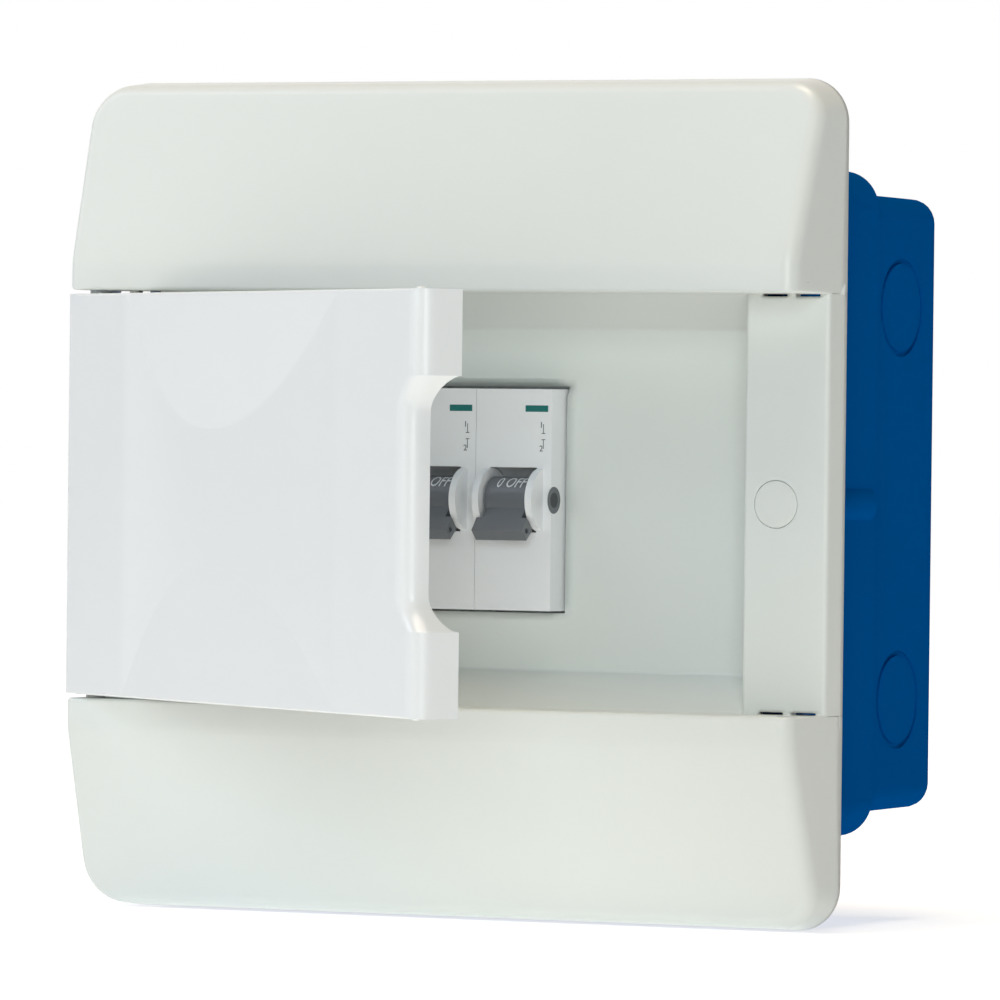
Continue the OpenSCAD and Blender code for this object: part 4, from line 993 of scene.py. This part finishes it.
class PANEL_OT_breakers(bpy.types.Operator):
    """Dress both breakers: shells, toggles, prints on their noses, and the works inside"""

    bl_idname = "panel.breakers"
    bl_label = "Breakers"

    def execute(self, context):
        look = finishes()
        white = moulded("breaker_white", look.breaker, roughness=0.38, tone=0.03, bump=0.25)
        grey = moulded("toggle_grey", look.toggle, roughness=0.4, tone=0.05, bump=0.25)
        metals = {
            "rivets": "steel", "arm_pin": "steel", "arc_chute": "steel", "terminal_cages": "steel",
            "terminal_screws": "steel", "contact_arm": "copper", "fixed_contact": "copper",
            "coil_winding": "copper", "bimetal": "bimetal",
        }
        for i in (1, 2):
            name = f"breaker_{i}_"
            seam = node_span(name + "right_shell", 0)[0]
            for side in ("left_shell", "right_shell"):
                softened(name + side, white, "panel", SHELL_SOFT, seam=seam)
            softened(name + "toggle", grey, f"toggle_{i}", SHELL_SOFT)
            for part, metal in metals.items():
                dress(name + part, drawn_metal(metal, getattr(look, metal)))
            dress(name + "coil_bobbin", moulded("bobbin", look.bobbin))
            dress(name + "rail_clip", grey)
            self.add_print(i, look)
        return {"FINISHED"}

    @staticmethod
    def add_print(i, look):
        """The print on a breaker: stripe, sign and numbers on its nose, OFF round its drum, a grey socket
        ring on its side, and dark discs of painted shade over the side socket's hole and the cheek's pivot
        hole.
        """
        name = f"breaker_{i}_"
        middle, right = node_span(name + "right_shell", 0)
        # The dark ink material serves both the printed sign and numbers and the painted shade over the small
        # side holes.
        green, ink_and_hole_shade = moulded("stripe_green", look.stripe), moulded("ink_dark", look.ink_and_hole_shade, 0.5)
        for part, bars, material in (("stripe", STRIPE_BARS, green), ("sign", SIGN_BARS, ink_and_hole_shade)):
            plates = Surface()
            for x0, x1, z0, z1 in bars:
                flat_plate(plates, (right + x0 * MM, right + x1 * MM), NOSE_OUT, (z0 * MM, z1 * MM), PRINT_T)
            place_piece(name + part, plates.mesh(part), material, "panel")
        for digit, z in DIGITS:
            centre = np.array([right - DIGIT_IN, NOSE_OUT + PRINT_T / 2, z])
            add_word(name + "number_" + digit, digit, DIGIT_H, lambda flat: flat[:, [0, 2, 1]] + centre,
                     ink_and_hole_shade, "panel")
        pivot = joint_named(f"toggle_{i}_tip")["pos_m"]

        def wrap(flat):
            """Heights become angles round the drum, and thickness becomes radius."""
            angle, radius = DRUM_MARK + flat[:, 1] / DRUM_R, DRUM_R + PRINT_T / 2 + flat[:, 2]
            across = middle + DRUM_SHIFT + DRUM_NARROW * flat[:, 0]
            out, z = -pivot[1] + radius * np.cos(angle), pivot[2] + radius * np.sin(angle)
            return np.stack([across, out, z], -1)

        add_word(name + "off_print", "0 OFF", OFF_H, wrap, moulded("print_white", look.print_white, 0.5),
                 f"toggle_{i}", OFF_SLANT)
        # The side hole and the pivot hole are flat dark ink discs, painted shade in place of the dark inside
        # of the holes; the socket ring is grey moulding.
        for part, x, radius, height, material in (
            ("side_ring", right, SOCKET_R, PRINT_T, moulded("socket_grey", look.toggle, 0.45)),
            ("side_hole", right, HOLE_R, 1.5 * PRINT_T, ink_and_hole_shade),
            ("pivot_mark", middle + CHEEK_END, PIVOT_R, PRINT_T, ink_and_hole_shade),
        ):
            disc = Surface()
            profile = [(0, 0), (radius, 0), (radius - height / 2, height), (radius / 2, height), (0, height)]
            lathe(disc, profile, (x, -pivot[1], pivot[2]), "x", PIN_SEGMENTS)
            place_piece(name + part, disc.mesh(part), material, "panel")


class PANEL_OT_fittings(bpy.types.Operator):
    """Dress the rail, the bars with their carriers, and all screws"""

    bl_idname = "panel.fittings"
    bl_label = "Rail, bars and screws"

    def execute(self, context):
        look = finishes()
        steel, brass = drawn_metal("steel", look.steel), drawn_metal("brass", look.brass)
        for node in ("cover_screws", "din_rail", "rail_screws", "neutral_bar_screws", "earth_bar_screws",
                     "carrier_screws"):
            dress(node, steel)
        for kind, slot in (("neutral", "carrier_blue"), ("earth", "carrier_green")):
            dress(kind + "_bar", brass)
            dress(kind + "_carrier", moulded(slot, getattr(look, kind), roughness=0.4, tone=0.06))
        return {"FINISHED"}


# Stage


class StageSettings(bpy.types.PropertyGroup):
    """Camera and light."""

    azimuth: number("Azimuth", "Camera's turn to the right", np.radians(28.283), subtype="ANGLE")
    elevation: number("Elevation", "Camera's height angle", np.radians(0.480), subtype="ANGLE")
    roll: number("Roll", "Camera's roll", np.radians(0.661), subtype="ANGLE")
    distance: length("Distance", "Camera's distance from its target", 1.951285)
    lens: number("Lens", "Focal length on a 36 mm sensor", 346.18, unit="CAMERA")
    upper: number("Upper light", "Power of the light overhead", 24.0, unit="POWER")
    left: number("Left light", "Power of the high left light", 9.6, unit="POWER")
    front: number("Front light", "Power of the front left light", 3.0, unit="POWER")
    right: number("Right light", "Power of the front right light", 12.2, unit="POWER")
    floor: number("Floor glow", "Strength of the floor's light on the panel", 0.38)
    world: number("World", "Strength of the light from all round", 0.0)


CAMERA_TARGET = Vector((7.051 * MM, -67 * MM, -0.075 * MM))
SENSOR, CLIP_END = 36, 20
LIGHTS = (
    ("upper", (0.0, -0.35, 2.0), 1.0, (1.0, 0.85, 0.68)),
    ("left", (-1.35, -0.9, 1.3), 0.9, (0.68, 0.79, 1.0)),
    ("front", (-0.9, -1.8, 0.4), 0.8, (1.0, 1.0, 1.0)),
    ("right", (0.9, -1.8, 0.4), 0.8, (0.9, 0.97, 1.0)),
)
FLOOR_RADII = (0, 0.3, 1, 3, 9)
FLOOR_GAP = 0.5 * MM
FLOOR_COLOUR = (0.85, 0.86, 0.86, 1)
FLOOR_FADE = {"From Min": 0.35, "From Max": 1.2, "To Min": 0.7, "To Max": 1.0}


def add_camera(stage):
    """A camera that looks at its target along the given angles, rolled about its own axis."""
    az, el, roll = stage.azimuth, stage.elevation, stage.roll
    back = Vector((np.sin(az) * np.cos(el), -np.cos(az) * np.cos(el), np.sin(el)))
    right = Vector((np.cos(az), np.sin(az), 0))
    up = back.cross(right)
    across, upright = np.cos(roll) * right + np.sin(roll) * up, np.cos(roll) * up - np.sin(roll) * right
    data = bpy.data.cameras.new("camera")
    data.lens, data.sensor_width, data.clip_end = stage.lens, SENSOR, CLIP_END
    camera = bpy.data.objects.new("camera", data)
    camera.matrix_world = Matrix.Translation(CAMERA_TARGET + stage.distance * back) @ Matrix(
        (across, upright, back)
    ).transposed().to_4x4()
    bpy.context.scene.collection.objects.link(camera)
    bpy.context.scene.camera = camera


def add_light(name, power, place, size, tint):
    """A soft area light that faces the panel."""
    data = bpy.data.lights.new(name, "AREA")
    data.shape, data.size, data.size_y = "RECTANGLE", size, size
    data.energy, data.color = power, tint
    light = bpy.data.objects.new(name, data)
    light.location, light.visible_camera = place, False
    light.rotation_euler = (CAMERA_TARGET - Vector(place)).to_track_quat("-Z", "Y").to_euler()
    bpy.context.scene.collection.objects.link(light)


def white_for_eye(tree):
    """One where the eye sees the surface itself or in a reflection, and nought for light on the part."""
    path = tree.nodes.new("ShaderNodeLightPath").outputs
    seen = math(tree, "MAXIMUM", path["Is Camera Ray"], path["Is Glossy Ray"])
    return math(tree, "MAXIMUM", seen, path["Is Transmission Ray"])


class PANEL_OT_stage(bpy.types.Operator):
    """Set up the floor, the white surroundings, the lights and the camera"""

    bl_idname = "panel.stage"
    bl_label = "Stage"

    def execute(self, context):
        stage = context.scene.panel_stage
        add_camera(stage)
        for name, place, size, tint in LIGHTS:
            add_light(name + "_light", getattr(stage, name), place, size, tint)
        self.add_floor(stage.floor)
        self.set_world(context.scene, stage.world)
        context.scene.view_settings.view_transform = "Standard"
        return {"FINISHED"}

    @staticmethod
    def add_floor(strength):
        """A round flat floor under the panel: a radius carried round the panel."""
        angle = np.linspace(0, 2 * np.pi, 64, endpoint=False)
        radius = np.array(FLOOR_RADII)[:, None]
        height = 0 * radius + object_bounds()[0][2] - FLOOR_GAP
        surface = Surface()
        surface.add(np.stack([radius * np.cos(angle), radius * np.sin(angle), height + 0 * angle], -1),
                    closed=True)
        mesh = surface.mesh("floor")
        mesh.shade_smooth()
        material = bpy.data.materials.new("floor_white")
        material.use_nodes = True
        tree = material.node_tree
        tree.nodes.remove(tree.nodes["Principled BSDF"])
        matt = tree.nodes.new("ShaderNodeBsdfDiffuse")
        matt.inputs["Color"].default_value = FLOOR_COLOUR
        glow = tree.nodes.new("ShaderNodeEmission")
        both = tree.nodes.new("ShaderNodeAddShader")
        place = tree.nodes.new("ShaderNodeTexCoord")
        away = tree.nodes.new("ShaderNodeVectorMath")
        away.operation = "LENGTH"
        fade = tree.nodes.new("ShaderNodeMapRange")
        for label, value in FLOOR_FADE.items():
            fade.inputs[label].default_value = value
        level = tree.nodes.new("ShaderNodeMapRange")
        level.inputs["To Min"].default_value = strength
        tree.links.new(place.outputs["Object"], away.inputs[0])
        tree.links.new(away.outputs["Value"], fade.inputs["Value"])
        tree.links.new(fade.outputs["Result"], level.inputs["To Max"])
        tree.links.new(white_for_eye(tree), level.inputs["Value"])
        tree.links.new(level.outputs["Result"], glow.inputs["Strength"])
        tree.links.new(matt.outputs[0], both.inputs[0])
        tree.links.new(glow.outputs[0], both.inputs[1])
        tree.links.new(both.outputs[0], tree.nodes["Material Output"].inputs["Surface"])
        mesh.materials.append(material)
        floor = bpy.data.objects.new("floor", mesh)
        bpy.context.scene.collection.objects.link(floor)
        floor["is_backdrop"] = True

    @staticmethod
    def set_world(scene, strength):
        """White where the eye meets it, and an even soft light on the panel."""
        world = bpy.data.worlds.new("surroundings")
        world.use_nodes = True
        tree = world.node_tree
        background = tree.nodes["Background"]
        background.inputs["Color"].default_value = (1, 1, 1, 1)
        level = tree.nodes.new("ShaderNodeMapRange")
        level.inputs["To Min"].default_value = strength
        level.inputs["To Max"].default_value = 1.0
        tree.links.new(white_for_eye(tree), level.inputs["Value"])
        tree.links.new(level.outputs["Result"], background.inputs["Strength"])
        scene.world = world


class PANEL_PT_sidebar(bpy.types.Panel):
    """Lists the panel's pieces."""

    bl_label = "Breaker panel"
    bl_space_type = "VIEW_3D"
    bl_region_type = "UI"
    bl_category = "Breaker panel"

    def draw(self, context):
        for operator in OPERATORS:
            self.layout.operator(operator.bl_idname)


OPERATORS = (PANEL_OT_stage, PANEL_OT_cover, PANEL_OT_door, PANEL_OT_caps, PANEL_OT_box, PANEL_OT_breakers,
             PANEL_OT_fittings)
GROUPS = {"panel_cover": CoverSizes, "panel_door": DoorSizes, "panel_finishes": Finishes,
          "panel_stage": StageSettings}


def register():
    """Registers the classes and hangs the settings on the scene."""
    for cls in (*GROUPS.values(), *OPERATORS, PANEL_PT_sidebar):
        bpy.utils.register_class(cls)
    for name, group in GROUPS.items():
        setattr(bpy.types.Scene, name, PointerProperty(type=group))


def unregister():
    """Takes the settings and the classes away again."""
    for name in GROUPS:
        delattr(bpy.types.Scene, name)
    for cls in reversed((*GROUPS.values(), *OPERATORS, PANEL_PT_sidebar)):
        bpy.utils.unregister_class(cls)


def main():
    """Builds every piece in order."""
    register()
    bpy.ops.panel.stage()
    bpy.ops.panel.cover()
    bpy.ops.panel.door()
    bpy.ops.panel.caps()
    bpy.ops.panel.box()
    bpy.ops.panel.breakers()
    bpy.ops.panel.fittings()


if __name__ == "__main__":
    main()
